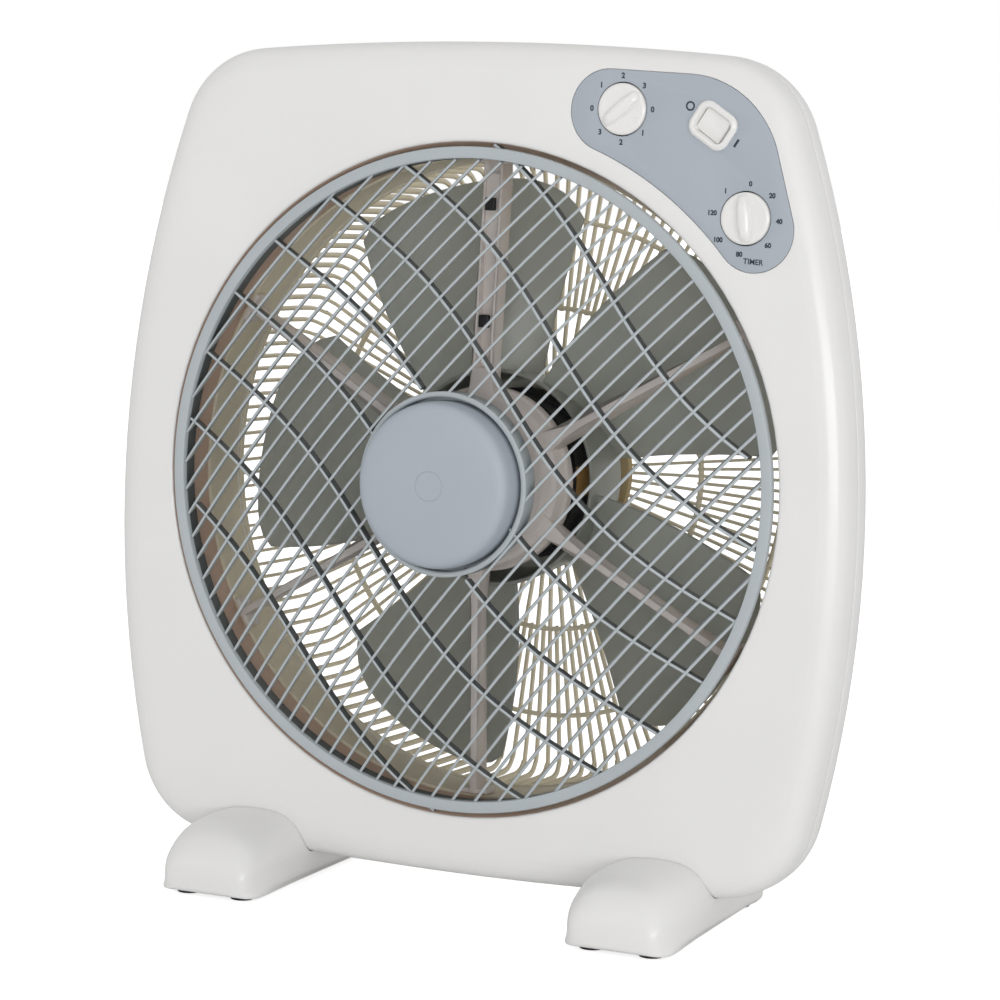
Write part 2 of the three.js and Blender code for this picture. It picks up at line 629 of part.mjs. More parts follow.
function rockerFrame() {
  const flange = rockerPlate(ROCKER.length, ROCKER.height, 6, FACE_Y - GAP - 1.4, FACE_Y - GAP);
  const neck = rockerPlate(18, 15, 3.8, FACE_Y - GAP - 0.5, -10);
  return cut(flange.add(neck), [rockerPlate(16, 12.8, 1, FACE_Y - 3, -13)]);
}

// The rocker's key, pressed in at its upper left end.
function rockerKey() {
  const key = new THREE.Shape();
  key.moveTo(-7.2, -4.6);
  key.quadraticCurveTo(0, -3.6, 7.2, -4.6);
  key.lineTo(6.6, 4);
  key.lineTo(-6.6, 4);
  const body = new THREE.ExtrudeGeometry(key, { depth: 12.2, bevelEnabled: false, curveSegments: 6 });
  body.translate(0, 0, -6.1).rotateZ(-THREE.MathUtils.degToRad(ROCKER.tilt));
  body.translate(0, ROCKER.pivotY, 0).rotateY(-THREE.MathUtils.degToRad(ROCKER.turn));
  return solid(body.translate(ROCKER.x, 0, ROCKER.z));
}

function knob({ x, z, grip }) {
  const { r, frontY, rearY, gripHeight, gripWidth } = KNOB;
  const profile = [
    [0, rearY - 6],
    [3.3, rearY - 6],
    [3.3, rearY],
    [r, rearY],
    [r, frontY + 1.8],
    [r - 1.2, frontY + 0.3],
    [0, frontY],
  ];
  const dial = turned(profile, { x, z, segments: 24 });
  const bar = new THREE.BoxGeometry(2 * r - 2.6, gripHeight + 1, gripWidth);
  bar.translate(0, frontY - gripHeight / 2 + 0.5, 0).rotateY(-THREE.MathUtils.degToRad(grip));
  bar.translate(x, 0, z);
  return dial.add(solid(bar));
}

const spindle = ({ x, z }) => tube(0, 3, KNOB.rearY - 5.7, -5, { x, z, segments: 12 });

function switchBody({ x, z }) {
  const { side, frontY, rearY, pocketR, pocketY } = SWITCH_BODY;
  const block = box(side, rearY - frontY, side, x, (frontY + rearY) / 2, z);
  const pocket = tube(0, pocketR, frontY - 1, pocketY, { x, z, segments: 24 });
  const bore = tube(0, 3.3, pocketY - 1, -4.5, { x, z, segments: 12 });
  return cut(block, [pocket, bore]);
}

// ---- Assembly --------------------------------------------------------------------------------

function material(color, roughness, metalness = 0) {
  return new THREE.MeshStandardMaterial({ color, roughness, metalness });
}

const LOOK = {
  white: material(0xe9e7e3, 0.35),
  guard: material(0xe2dfd6, 0.45),
  spider: material(0xe3dcd8, 0.45),
  blueGrey: material(0xaab4c2, 0.5),
  slate: material(0xa9b4ba, 0.5),
  smoke: material(0x7b8179, 0.25),
  black: material(0x17181a, 0.5),
  rubber: material(0x1c1c1e, 0.9),
  copper: material(0xb4702f, 0.4, 0.8),
  steel: material(0xb6b8ba, 0.35, 1),
  lamination: material(0x6f7377, 0.45, 0.9),
  bronze: material(0xa9824c, 0.4, 0.9),
  switchPlastic: material(0x2a2b2d, 0.6),
};

const fan = new THREE.Group();
function add(name, made, look) {
  const mesh = new THREE.Mesh(geometryOf(made), look.clone());
  mesh.name = name;
  fan.add(mesh);
}

add("front_shell", frontShell(), LOOK.white);
add("rear_shell", rearShell(), LOOK.white);
add("rear_guard", rearGuard(), LOOK.guard);
add("front_spider", frontSpider(), LOOK.spider);
add("wire_clip_upper", wireClip(137, -7.6), LOOK.black);
add("wire_clip_lower", wireClip(79, -11), LOOK.black);
add("cord_gland", cordGland(), LOOK.rubber);
CASE_SCREW_PLACES.forEach((place, i) => add(`case_screw_${i + 1}`, caseScrew(place), LOOK.steel));

[["left", -1], ["right", 1]].forEach(([name, side]) => {
  add(`foot_${name}`, foot(side), LOOK.white);
  padPlaces(side).forEach((place, i) => {
    add(`pad_${name}_${i + 1}`, upright(PAD.r, 0, PAD.height, place), LOOK.rubber);
  });
});
FOOT_SCREW_PLACES.forEach((place, i) => add(`foot_screw_${i + 1}`, footScrew(place), LOOK.steel));

add("louvre_grille", louvreGrille(), LOOK.slate);
add("hub_cap", hubCap(), LOOK.blueGrey);
add("grille_shaft", grilleShaft(), LOOK.steel);
add("grille_motor", grilleMotor(), LOOK.lamination);

add("motor_front_bracket", motorFrontBracket(), LOOK.black);
add("motor_rear_bracket", motorRearBracket(), LOOK.black);
add("stator_core", tube(24, MOTOR.coreR, MOTOR.coreFrontY, MOTOR.coreRearY), LOOK.lamination);
add("winding_front", coil(3, MOTOR.coreFrontY - GAP), LOOK.copper);
add("winding_rear", coil(MOTOR.coreRearY + GAP, 40), LOOK.copper);
add("bearing_front", tube(SHAFT_R + GAP, 9.7, -3, 3, { segments: 16 }), LOOK.bronze);
add("bearing_rear", tube(SHAFT_R + GAP, 8.7, 40, 46, { segments: 16 }), LOOK.bronze);
add("impeller", impeller(), LOOK.smoke);
add("motor_shaft", impellerShaft(), LOOK.steel);
add("rotor", tube(SHAFT_R + GAP, 23.4, 14.5, 29.8, { segments: 24 }), LOOK.lamination);
add("spinner_nut", spinnerNut(), LOOK.black);

add("control_panel", controlPanel(), LOOK.blueGrey);
add("speed_knob", knob(SPEED_KNOB), LOOK.white);
add("speed_spindle", spindle(SPEED_KNOB), LOOK.steel);
add("speed_switch", switchBody(SPEED_KNOB), LOOK.switchPlastic);
add("timer_knob", knob(TIMER_KNOB), LOOK.white);
add("timer_spindle", spindle(TIMER_KNOB), LOOK.steel);
add("timer_body", switchBody(TIMER_KNOB), LOOK.switchPlastic);
add("rocker_frame", rockerFrame(), LOOK.white);
add("rocker_key", rockerKey(), LOOK.white);
add("capacitor", box(34, 22, 16, 30, -14, AXIS_Z + 190), LOOK.black);

export default fan;
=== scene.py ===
import json
import math

import bmesh
import bpy
from mathutils import Matrix, Vector


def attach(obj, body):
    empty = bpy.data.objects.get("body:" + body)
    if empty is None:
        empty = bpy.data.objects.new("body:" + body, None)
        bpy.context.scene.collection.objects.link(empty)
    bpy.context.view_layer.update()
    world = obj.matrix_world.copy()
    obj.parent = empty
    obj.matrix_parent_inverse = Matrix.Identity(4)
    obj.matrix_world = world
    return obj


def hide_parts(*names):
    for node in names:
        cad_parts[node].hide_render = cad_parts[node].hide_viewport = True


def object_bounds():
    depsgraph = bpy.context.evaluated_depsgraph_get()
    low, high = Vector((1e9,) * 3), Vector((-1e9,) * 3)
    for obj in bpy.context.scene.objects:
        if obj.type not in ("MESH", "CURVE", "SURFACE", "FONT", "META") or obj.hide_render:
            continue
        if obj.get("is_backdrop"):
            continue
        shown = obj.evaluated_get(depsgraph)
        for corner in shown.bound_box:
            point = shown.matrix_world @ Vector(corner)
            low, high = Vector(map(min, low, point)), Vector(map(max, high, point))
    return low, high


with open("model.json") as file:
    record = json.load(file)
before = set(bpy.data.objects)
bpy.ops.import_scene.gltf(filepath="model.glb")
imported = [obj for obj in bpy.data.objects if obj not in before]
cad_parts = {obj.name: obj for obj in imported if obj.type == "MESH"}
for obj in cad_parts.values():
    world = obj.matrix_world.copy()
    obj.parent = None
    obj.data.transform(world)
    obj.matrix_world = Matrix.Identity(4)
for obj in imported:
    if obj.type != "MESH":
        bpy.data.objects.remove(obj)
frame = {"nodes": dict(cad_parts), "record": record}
cad_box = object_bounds()

MM = 0.001
scene = bpy.context.scene

# ---- Driving dimensions, in millimetres and degrees --------------------------------------------

AXIS_Z = 214.5
FACE_Y = -28.7
PARTING_Y = -10.0
BACK_Y = 28.0
GUARD_Y = 79.0

BODY = dict(half_width=201, widest_z=195.5, bottom_z=16, top_z=431, side_r=607, top_r=1684, bottom_r=2053)
TOP_CORNER_R = 48
BOTTOM_CORNER_R = 46
FRONT_EDGE = [(FACE_Y, 13), (FACE_Y + 0.9, 8), (FACE_Y + 3.2, 3.6), (FACE_Y + 7.5, 1), (FACE_Y + 14, 0)]
REAR_EDGE = [(0, 0.4), (7, 2.4), (14, 7), (20, 14), (25, 24), (BACK_Y, 34)]
SHELL = 2.4

APERTURE_R = 167.4
FRONT_DUCT = dict(r=161.2, rear_y=-3)
REAR_DUCT_R = 160.0

RIM = dict(r=165, width=6.0, depth=10.5, flange=3.2, wall=1.8, front_y=FACE_Y - 2.3)
HUB_RING = dict(r=45.5, width=2.6, depth=11)
DOME_HEIGHT = 22
LATTICE_REACH = 158
PATTERN_ANGLE = math.radians(49.2)
SLATS = dict(each_side=16, pitch=9.33, thickness=1.45, depth=9, lean=0.3, bow=1.67e-4, set_back=0.9)
RIBS = dict(count=8, pitch=35.46, thickness=1.5, depth=5.4, set_back=1.6, wave=10.4, wave_length=293)
HUB_CAP = dict(r=41, front_y=FACE_Y - 36.3, rear_y=-43.1)

# The spider's first arm is a channel. Towards the cone an arm widens by its flare, inside FLARE_R.
ARM_ANGLES = (90, 150, 210, 270, 330, 30)
CHANNEL_ARM = dict(half=5.25, flare=1.5)
PLAIN_ARM = dict(half=1.8, flare=3.2)
FLARE_R = 64
FLARE_LENGTH = 20
BLADES = dict(count=5, tip_r=151, first=36, thickness=2.0, deep_y=50, root_rise=36, tip_rise=28)
# The blades are rooted in the hub between its front and rear radius. Its wall ends in a rim further forward.
HUB = dict(
    r=54.5, rear_r=51, front_y=11, rear_y=53, rim_r=54.9, rim_y=6.5, boss_r=11, boss_y=54.2, bore_r=4.3
)
COIL = dict(inner_r=27.5, outer_r=41.6, bulge=0.7, bundles=12)
GUARD = dict(ribs=144, split_r=84, ring_r=129.5, hub_r=45, bend_r=160)

PANEL = dict(
    inner_r=177.8, end_r=19.8, upper=68.6, lower=40.8, corner=(112, 152.5), corner_r=49.5, top=87, side=15
)
SPEED_KNOB = dict(x=79.1, z=AXIS_Z + 184.8, grip=40)
TIMER_KNOB = dict(x=144.8, z=AXIS_Z + 134.8, grip=96)
KNOB = dict(r=12.5, well_r=13.0, front_y=FACE_Y - 1.3, rear_y=-15)
ROCKER = dict(x=126.8, z=AXIS_Z + 178, turn=-33, length=22.6, height=18.9, pivot_y=-24)
ROCKER_WINDOW = dict(length=18.6, height=15.6, r=4)
SPEED_FIGURES = dict(text="03210321", r=15.9, size=3.6)
# The timer's figures stand a little further out where they have more than one digit.
TIMER_FIGURES = dict(r=16.4, wide_r=17.2, size=3.2)
# The timer's scale: the angle of each figure, in degrees counter-clockwise from the right.
TIMER_SCALE = (
    (83, "0"), (40, "20"), (-3, "40"), (-46, "60"), (-98, "80"), (-142, "100"), (173, "120"), (130, "I")
)

FOOT_X = 112
# Where a foot is cut, from front to rear: y, half width, half width at the bottom, lowest z, highest z.
FOOT_STATIONS = [
    (-81, 15, 14, 5, 13), (-80, 20.5, 19.5, 3.4, 19.5), (-77, 24, 24.5, 2.3, 26), (-71, 26.5, 27.7, 2, 32),
    (-60, 28.8, 27.2, 2, 36.5), (-45, 29.6, 25.4, 2, 38.5), (-29, 29.2, 23.6, 2, 38.8),
    (0, 27.5, 20.8, 2, 38), (30, 25, 18, 2, 34), (56, 20.5, 15.6, 2, 26), (72, 17, 15, 2, 16.5),
    (81, 10.5, 9.5, 4, 9),
]
PAD = dict(r=6, height=4)
# The pads' rows: y, and how far each pad stands from the middle of its foot.
PAD_ROWS = ((-67, 15.5), (64, 6.5))
# The gap round the body and the pads, where a foot holds them.
FIT = 0.3
CASE_SCREWS = [(sx * 105, AXIS_Z + sz * 163) for sx in (-1, 1) for sz in (-1, 1)]
SCREW_HOLE_R = 4.3
GLAND = (95, 68)

# The camera's place is in metres, its angles are in degrees, and its lens and sensor are in millimetres.
CAMERA = dict(
    place=(0.7501, -1.5292, 0.3630), azimuth=25.909, elevation=5.344, roll=1.957, lens=122.69, sensor=36
)


# ---- Materials -------------------------------------------------------------------------------


def new_material(name):
    material = bpy.data.materials.new(name)
    material.use_nodes = True
    return material, material.node_tree, material.node_tree.nodes["Principled BSDF"]


def link(tree, a, b):
    tree.links.new(a, b)


def noise(tree, coords, scale, detail, rough=0.5):
    node = tree.nodes.new("ShaderNodeTexNoise")
    node.inputs["Scale"].default_value = scale
    node.inputs["Detail"].default_value = detail
    node.inputs["Roughness"].default_value = rough
    link(tree, coords.outputs["Object"], node.inputs["Vector"])
    return node


def ramp(tree, source, low, high, start=0.35, end=0.65):
    node = tree.nodes.new("ShaderNodeValToRGB")
    node.color_ramp.elements[0].position = start
    node.color_ramp.elements[1].position = end
    node.color_ramp.elements[0].color = (*low, 1)
    node.color_ramp.elements[1].color = (*high, 1)
    link(tree, source, node.inputs["Fac"])
    return node


def moulded(name, color, roughness, tone, grain=0.02, coat=0.0, subsurface=0.0, transmission=0.0):
    """Moulded plastic: slow tone and gloss changes, a fine surface grain, and duller, dustier patches."""
    material, tree, shader = new_material(name)
    coords = tree.nodes.new("ShaderNodeTexCoord")
    patches = noise(tree, coords, scale=14, detail=4)
    low = tuple(c * (1 - tone) for c in color)
    high = tuple(min(1, c * (1 + tone)) for c in color)
    link(tree, ramp(tree, patches.outputs["Fac"], low, high).outputs["Color"], shader.inputs["Base Color"])
    gloss = noise(tree, coords, scale=60, detail=5, rough=0.6)
    spread = tree.nodes.new("ShaderNodeMapRange")
    spread.inputs["To Min"].default_value = roughness * 0.85
    spread.inputs["To Max"].default_value = roughness * 1.2
    link(tree, gloss.outputs["Fac"], spread.inputs["Value"])
    link(tree, spread.outputs["Result"], shader.inputs["Roughness"])
    fine = noise(tree, coords, scale=1800, detail=2)
    bump = tree.nodes.new("ShaderNodeBump")
    bump.inputs["Strength"].default_value = grain
    bump.inputs["Distance"].default_value = 0.0003
    link(tree, fine.outputs["Fac"], bump.inputs["Height"])
    link(tree, bump.outputs["Normal"], shader.inputs["Normal"])
    shader.inputs["IOR"].default_value = 1.5
    shader.inputs["Coat Weight"].default_value = coat
    shader.inputs["Coat Roughness"].default_value = 0.12
    shader.inputs["Subsurface Weight"].default_value = subsurface
    shader.inputs["Subsurface Radius"].default_value = (0.004, 0.003, 0.002)
    shader.inputs["Transmission Weight"].default_value = transmission
    return material


def metal(name, color, roughness, stretch=(1, 1, 1)):
    """Metal with drawn or turned streaks in its gloss."""
    material, tree, shader = new_material(name)
    coords = tree.nodes.new("ShaderNodeTexCoord")
    mapping = tree.nodes.new("ShaderNodeMapping")
    mapping.inputs["Scale"].default_value = stretch
    link(tree, coords.outputs["Object"], mapping.inputs["Vector"])
    streaks = tree.nodes.new("ShaderNodeTexNoise")
    streaks.inputs["Scale"].default_value = 400
    streaks.inputs["Detail"].default_value = 4
    link(tree, mapping.outputs["Vector"], streaks.inputs["Vector"])
    low = tuple(c * 0.8 for c in color)
    link(tree, ramp(tree, streaks.outputs["Fac"], low, color).outputs["Color"], shader.inputs["Base Color"])
    spread = tree.nodes.new("ShaderNodeMapRange")
    spread.inputs["To Min"].default_value = roughness * 0.7
    spread.inputs["To Max"].default_value = roughness * 1.4
    link(tree, streaks.outputs["Fac"], spread.inputs["Value"])
    link(tree, spread.outputs["Result"], shader.inputs["Roughness"])
    shader.inputs["Metallic"].default_value = 1.0
    return material


def wound_copper(name):
    """Enamelled copper turns that lie side by side round the motor's axis."""
    material, tree, shader = new_material(name)
    coords = tree.nodes.new("ShaderNodeTexCoord")
    turns = tree.nodes.new("ShaderNodeTexWave")
    turns.bands_direction = "Y"
    turns.inputs["Scale"].default_value = 320
    turns.inputs["Distortion"].default_value = 2.0
    turns.inputs["Detail"].default_value = 2
    link(tree, coords.outputs["Object"], turns.inputs["Vector"])
    colours = ramp(tree, turns.outputs["Fac"], (0.50, 0.26, 0.08), (0.95, 0.60, 0.22), 0.1, 0.8)
    link(tree, colours.outputs["Color"], shader.inputs["Base Color"])
    bump = tree.nodes.new("ShaderNodeBump")
    bump.inputs["Strength"].default_value = 0.6
    bump.inputs["Distance"].default_value = 0.0005
    link(tree, turns.outputs["Fac"], bump.inputs["Height"])
    link(tree, bump.outputs["Normal"], shader.inputs["Normal"])
    shader.inputs["Metallic"].default_value = 0.15
    shader.inputs["Roughness"].default_value = 0.38
    return material


LOOK = {
    "body_white": moulded(
        "white_gloss_plastic", (0.84, 0.832, 0.82), 0.33, coat=0.25, tone=0.012, subsurface=0.06
    ),
    "guard_cream": moulded("cream_guard_plastic", (0.84, 0.77, 0.60), 0.5, tone=0.05),
    "spider_white": moulded("spider_plastic", (0.82, 0.75, 0.71), 0.42, tone=0.03),
    "panel_blue_grey": moulded("blue_grey_plastic", (0.42, 0.462, 0.515), 0.52, grain=0.12, tone=0.02),
    "grille_slate": moulded("slate_plastic", (0.46, 0.50, 0.52), 0.42, tone=0.03),
    "blade_smoke": moulded(
        "smoky_plastic", (0.50, 0.52, 0.475), 0.38, tone=0.06, coat=0.15, transmission=0.42
    ),
    "control_white": moulded(
        "control_plastic", (0.86, 0.85, 0.83), 0.28, coat=0.3, tone=0.012, subsurface=0.05
    ),
    "black_plastic": moulded("black_plastic", (0.018, 0.018, 0.02), 0.45, grain=0.15, tone=0.2),
    "rubber_black": moulded("black_rubber", (0.02, 0.02, 0.021), 0.85, grain=0.5, tone=0.25),
    "copper_wire": wound_copper("enamelled_copper"),
    "steel": metal("plated_steel", (0.62, 0.63, 0.64), 0.3, (1, 30, 1)),
    "lamination": metal("stacked_steel", (0.30, 0.31, 0.32), 0.45, (1, 60, 1)),
    "bronze": metal("sintered_bronze", (0.52, 0.38, 0.18), 0.42),
}
INK = moulded("dial_ink", (0.03, 0.04, 0.06), 0.6, tone=0.2)
# The duct's brown is painted shade on the white housing's inner wall.
DUCT_PAINTED_SHADE = moulded("duct_painted_shade", (0.74, 0.53, 0.42), 0.4, tone=0.04)
# The disc's amber is painted shade on the cream guard plastic.
DISC_PAINTED_SHADE = moulded("amber_disc_painted_shade", (0.52, 0.40, 0.22), 0.45, tone=0.05)
# The ribs' front edge has the slate's own colour; the near-black is painted shade for their sides.
RIB_EDGE = (0.46, 0.50, 0.52)
RIB_PAINTED_SHADE = (0.10, 0.11, 0.112)


def edged(name, edge, side):
    """The ribs' plastic: a pale front edge, and painted shade that turns every face which doesn't look
    forward dark.
    """
    material, tree, shader = new_material(name)
    coords = tree.nodes.new("ShaderNodeTexCoord")
    parts = tree.nodes.new("ShaderNodeSeparateXYZ")
    link(tree, coords.outputs["Normal"], parts.inputs["Vector"])
    facing = tree.nodes.new("ShaderNodeMath")
    facing.operation = "MULTIPLY"
    facing.inputs[1].default_value = -1
    link(tree, parts.outputs["Y"], facing.inputs[0])
    shade = ramp(tree, facing.outputs["Value"], side, edge, 0.25, 0.5)
    link(tree, shade.outputs["Color"], shader.inputs["Base Color"])
    shader.inputs["Roughness"].default_value = 0.5
    return material


RIB = edged("rib_plastic_painted_shade", RIB_EDGE, RIB_PAINTED_SHADE)

# ---- Mesh helpers ----------------------------------------------------------------------------


def between_knots(a, b, c, d, t):
    """A Catmull-Rom curve's value from b to c, where a comes before them and d after them."""
    square = (2 * a - 5 * b + 4 * c - d) * t * t
    cube = (3 * b - a - 3 * c + d) * t**3
    return 0.5 * (2 * b + (c - a) * t + square + cube)


def smooth_path(points, steps):
    """A Catmull-Rom curve through the points, as a list of tuples."""
    ends = [points[0], *points, points[-1]]
    path = []
    for p0, p1, p2, p3 in zip(ends, ends[1:], ends[2:], ends[3:]):
        for i in range(steps):
            path.append(tuple(between_knots(*knots, i / steps) for knots in zip(p0, p1, p2, p3)))
    return [*path, tuple(points[-1])]


def polar(r, degrees):
    return r * math.cos(math.radians(degrees)), r * math.sin(math.radians(degrees))


def soften(obj, sharp=35):
    """Smooth shading, except over edges that turn by more than the sharp angle."""
    bm = bmesh.new()
    bm.from_mesh(obj.data)
    for face in bm.faces:
        face.smooth = True
    for edge in bm.edges:
        edge.smooth = edge.calc_face_angle(0) < math.radians(sharp)
    bm.to_mesh(obj.data)
    bm.free()
    return obj


def mesh_object(name, verts, faces):
    """A mesh from points in millimetres, its faces turned outwards."""
    mesh = bpy.data.meshes.new(name)
    mesh.from_pydata([tuple(c * MM for c in v) for v in verts], [], faces)
    bm = bmesh.new()
    bm.from_mesh(mesh)
    bmesh.ops.remove_doubles(bm, verts=bm.verts, dist=1e-6)
    bmesh.ops.recalc_face_normals(bm, faces=bm.faces)
    bm.to_mesh(mesh)
    bm.free()
    obj = bpy.data.objects.new(name, mesh)
    scene.collection.objects.link(obj)
    return soften(obj)


def skin(rings, ends, base=0):
    """Faces over rings of equally many points. The ends are open, capped, or joined to each other."""
    n, count = len(rings[0]), len(rings)
    faces = []
    for i in range(count if ends == "joined" else count - 1):
        a, b = base + i * n, base + ((i + 1) % count) * n
        faces += [(a + j, a + (j + 1) % n, b + (j + 1) % n, b + j) for j in range(n)]
    if ends == "capped":
        last = base + (count - 1) * n
        faces += [tuple(range(base, base + n)), tuple(range(last, last + n))]
    return faces


def loft(name, rings, ends="capped"):
    """Rings of equally many points, skinned in order."""
    return mesh_object(name, [p for ring in rings for p in ring], skin(rings, ends))


def turned(name, profile, segments, x=0, z=AXIS_Z):
    """A closed profile of (radius, y) points turned round a line along Y."""
    rings = []
    for i in range(segments):
        c, s = polar(1, i * 360 / segments)
        rings.append([(x + r * c, y, z + r * s) for r, y in profile])
    return loft(name, rings, ends="joined")


def rounded(points, radius, steps=4):
    """Replaces each corner of a closed outline by an arc-like curve that starts a radius away from it."""
    out = []
    n = len(points)
    for i in range(n):
        before, here, after = (Vector(points[k % n]) for k in (i - 1, i, i + 1))
        reach = min(radius, (before - here).length / 2.05, (after - here).length / 2.05)
        start = here + (before - here).normalized() * reach
        end = here + (after - here).normalized() * reach
        for k in range(steps + 1):
            t = k / steps
            out.append(tuple((1 - t) ** 2 * start + 2 * t * (1 - t) * here + t * t * end))
    return out


def plate(name, shape, y0, y1):
    """A closed outline of (x, z) points pushed from y0 to y1."""
    return loft(name, [[(x, y, z) for x, z in shape] for y in (y0, y1)])


def cuboid(name, width, height, y0, y1, z, x=0):
    """A block as wide and as high as given about (x, z), from y0 to y1."""
    w, h = width / 2, height / 2
    return plate(name, [(x - w, z - h), (x + w, z - h), (x + w, z + h), (x - w, z + h)], y0, y1)


def circle(r, x, z, segments):
    """The points of a circle, counter-clockwise."""
    angles = [2 * math.pi * i / segments for i in range(segments)]
    return [(x + r * math.cos(a), z + r * math.sin(a)) for a in angles]


def disc_tool(name, r, y0, y1, x=0, z=AXIS_Z, segments=64):
    return plate(name, circle(r, x, z, segments), y0, y1)


def bake(obj):
    """Applies the modifiers."""
    graph = bpy.context.evaluated_depsgraph_get()
    mesh = bpy.data.meshes.new_from_object(obj.evaluated_get(graph))
    obj.modifiers.clear()
    obj.data = mesh
    return obj


def cut(obj, *tools):
    """Subtracts closed meshes, which are used up."""
    for tool in tools:
        modifier = obj.modifiers.new("cut", "BOOLEAN")
        modifier.operation = "DIFFERENCE"
        modifier.solver = "EXACT"
        modifier.object = tool
        bake(obj)
        bpy.data.objects.remove(tool)
    return obj


def bevel(obj, width, segments=2, angle=40):
    modifier = obj.modifiers.new("edges", "BEVEL")
    modifier.width = width * MM
    modifier.segments = segments
    modifier.limit_method = "ANGLE"
    modifier.angle_limit = math.radians(angle)
    return soften(bake(obj), 50)


def merged(name, objects):
    """One object made of several, which are used up."""
    bm = bmesh.new()
    for obj in objects:
        mesh = obj.data.copy()
        mesh.transform(obj.matrix_world)
        bm.from_mesh(mesh)
        bpy.data.meshes.remove(mesh)
    mesh = bpy.data.meshes.new(name)
    bm.to_mesh(mesh)
    bm.free()
    for obj in objects:
        bpy.data.objects.remove(obj)
    whole = bpy.data.objects.new(name, mesh)
    scene.collection.objects.link(whole)
    return whole


def finish_piece(obj, body, slot, *nodes, material=None):
    """Gives a piece its material, its slot's unless one is given, and its body, and hides the CAD nodes that
    it stands for.
    """
    obj.data.materials.clear()
    obj.data.materials.append(material or LOOK[slot])
    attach(obj, body)
    if nodes:
        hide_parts(*nodes)
    return obj


# ---- Body outline ----------------------------------------------------------------------------


def corner_centre(side, end, r):
    """The middle of a corner arc of radius r that touches a side arc and an end arc from inside."""
    a, b = side[2] - r, end[2] - r
    dx, dz = end[0] - side[0], end[1] - side[1]
    d = math.hypot(dx, dz)
    along = (a * a - b * b + d * d) / (2 * d)
    across = math.sqrt(a * a - along * along) * (-1 if dz < 0 else 1)
    return side[0] + (along * dx + across * dz) / d, side[1] + (along * dz - across * dx) / d, r


SIDE = (BODY["half_width"] - BODY["side_r"], BODY["widest_z"], BODY["side_r"])
TOP = (0, BODY["top_z"] - BODY["top_r"], BODY["top_r"])
BOTTOM = (0, BODY["bottom_z"] + BODY["bottom_r"], BODY["bottom_r"])
TOP_CORNER = corner_centre(SIDE, TOP, TOP_CORNER_R)
BOTTOM_CORNER = corner_centre(SIDE, BOTTOM, BOTTOM_CORNER_R)


def heading(a, b):
    return math.atan2(b[1] - a[1], b[0] - a[0])


def outline(inset):
    """The body's outline shrunk by an inset: (x, z) points counter-clockwise from the bottom's middle."""
    arcs = [
        (BOTTOM, -math.pi / 2, heading(BOTTOM, BOTTOM_CORNER), 10),
        (BOTTOM_CORNER, heading(BOTTOM, BOTTOM_CORNER), heading(SIDE, BOTTOM_CORNER), 14),
        (SIDE, heading(SIDE, BOTTOM_CORNER), heading(SIDE, TOP_CORNER), 22),
        (TOP_CORNER, heading(SIDE, TOP_CORNER), heading(TOP, TOP_CORNER), 14),
        (TOP, heading(TOP, TOP_CORNER), math.pi / 2, 10),
    ]
    right = []
    for (x, z, r), start, end, steps in arcs:
        for i in range(steps):
            a = start + (end - start) * i / steps
            right.append((x + (r - inset) * math.cos(a), z + (r - inset) * math.sin(a)))
    left = [(-x, z) for x, z in reversed(right[1:])]
    return [*right, (0, BODY["top_z"] - inset), *left]


def outline_ring(y, inset):
    return [(x, y, z) for x, z in outline(inset)]


def circle_ring(y, r):
    """As many points as an outline has, on a circle round the fan's axis, each in the same direction."""
    ring = []
    for x, z in outline(0):
        a = math.atan2(z - AXIS_Z, x)
        ring.append((r * math.cos(a), y, AXIS_Z + r * math.sin(a)))
    return ring


def between(ring_a, ring_b, t):
    return [tuple(a + (b - a) * t for a, b in zip(p, q)) for p, q in zip(ring_a, ring_b)]


# ---- Housing ---------------------------------------------------------------------------------


def arc(x, z, r, start, end):
    """The points of an arc, from one angle to another in degrees, both included."""
    steps = 20
    angles = [math.radians(start + (end - start) * i / steps) for i in range(steps + 1)]
    return [(x + r * math.cos(a), z + r * math.sin(a)) for a in angles]


def panel_outline(margin=0.0):
    """The control panel: two round ends, the inner arc along the aperture, and the outer corner arc."""
    reach = PANEL["inner_r"] + PANEL["end_r"]
    ux, uz = polar(reach, PANEL["upper"])
    lx, lz = polar(reach, PANEL["lower"])
    cx, cz = PANEL["corner"]
    end_r = PANEL["end_r"] + margin
    return [
        *arc(ux, AXIS_Z + uz, end_r, PANEL["top"], PANEL["upper"] + 180),
        *arc(0, AXIS_Z, PANEL["inner_r"] - margin, PANEL["upper"], PANEL["lower"])[1:-1],
        *arc(lx, AXIS_Z + lz, end_r, PANEL["lower"] + 180, PANEL["side"] + 360),
        *arc(cx, AXIS_Z + cz, PANEL["corner_r"] + margin, PANEL["side"], PANEL["top"]),
    ]


def slanted_rectangle(length, height, r):
    """The rocker switch's rounded rectangle, turned to its slant."""
    a, b = length / 2 - r, height / 2 - r
    steps = 8
    points = []
    for (x, z), start in (((a, b), 0), ((-a, b), 90), ((-a, -b), 180), ((a, -b), 270)):
        for i in range(steps + 1):
            dx, dz = polar(r, start + 90 * i / steps)
            points.append((x + dx, z + dz))
    c, s = polar(1, ROCKER["turn"])
    return [(ROCKER["x"] + x * c - z * s, ROCKER["z"] + x * s + z * c) for x, z in points]


def control_holes(rear_y):
    """Tools that cut the dials' wells and the rocker's window, back to rear_y."""
    front_y, dials = FACE_Y - 1, (SPEED_KNOB, TIMER_KNOB)
    wells = [disc_tool("well", KNOB["well_r"], front_y, rear_y, dial["x"], dial["z"]) for dial in dials]
    return [*wells, plate("window", slanted_rectangle(**ROCKER_WINDOW), front_y, rear_y)]


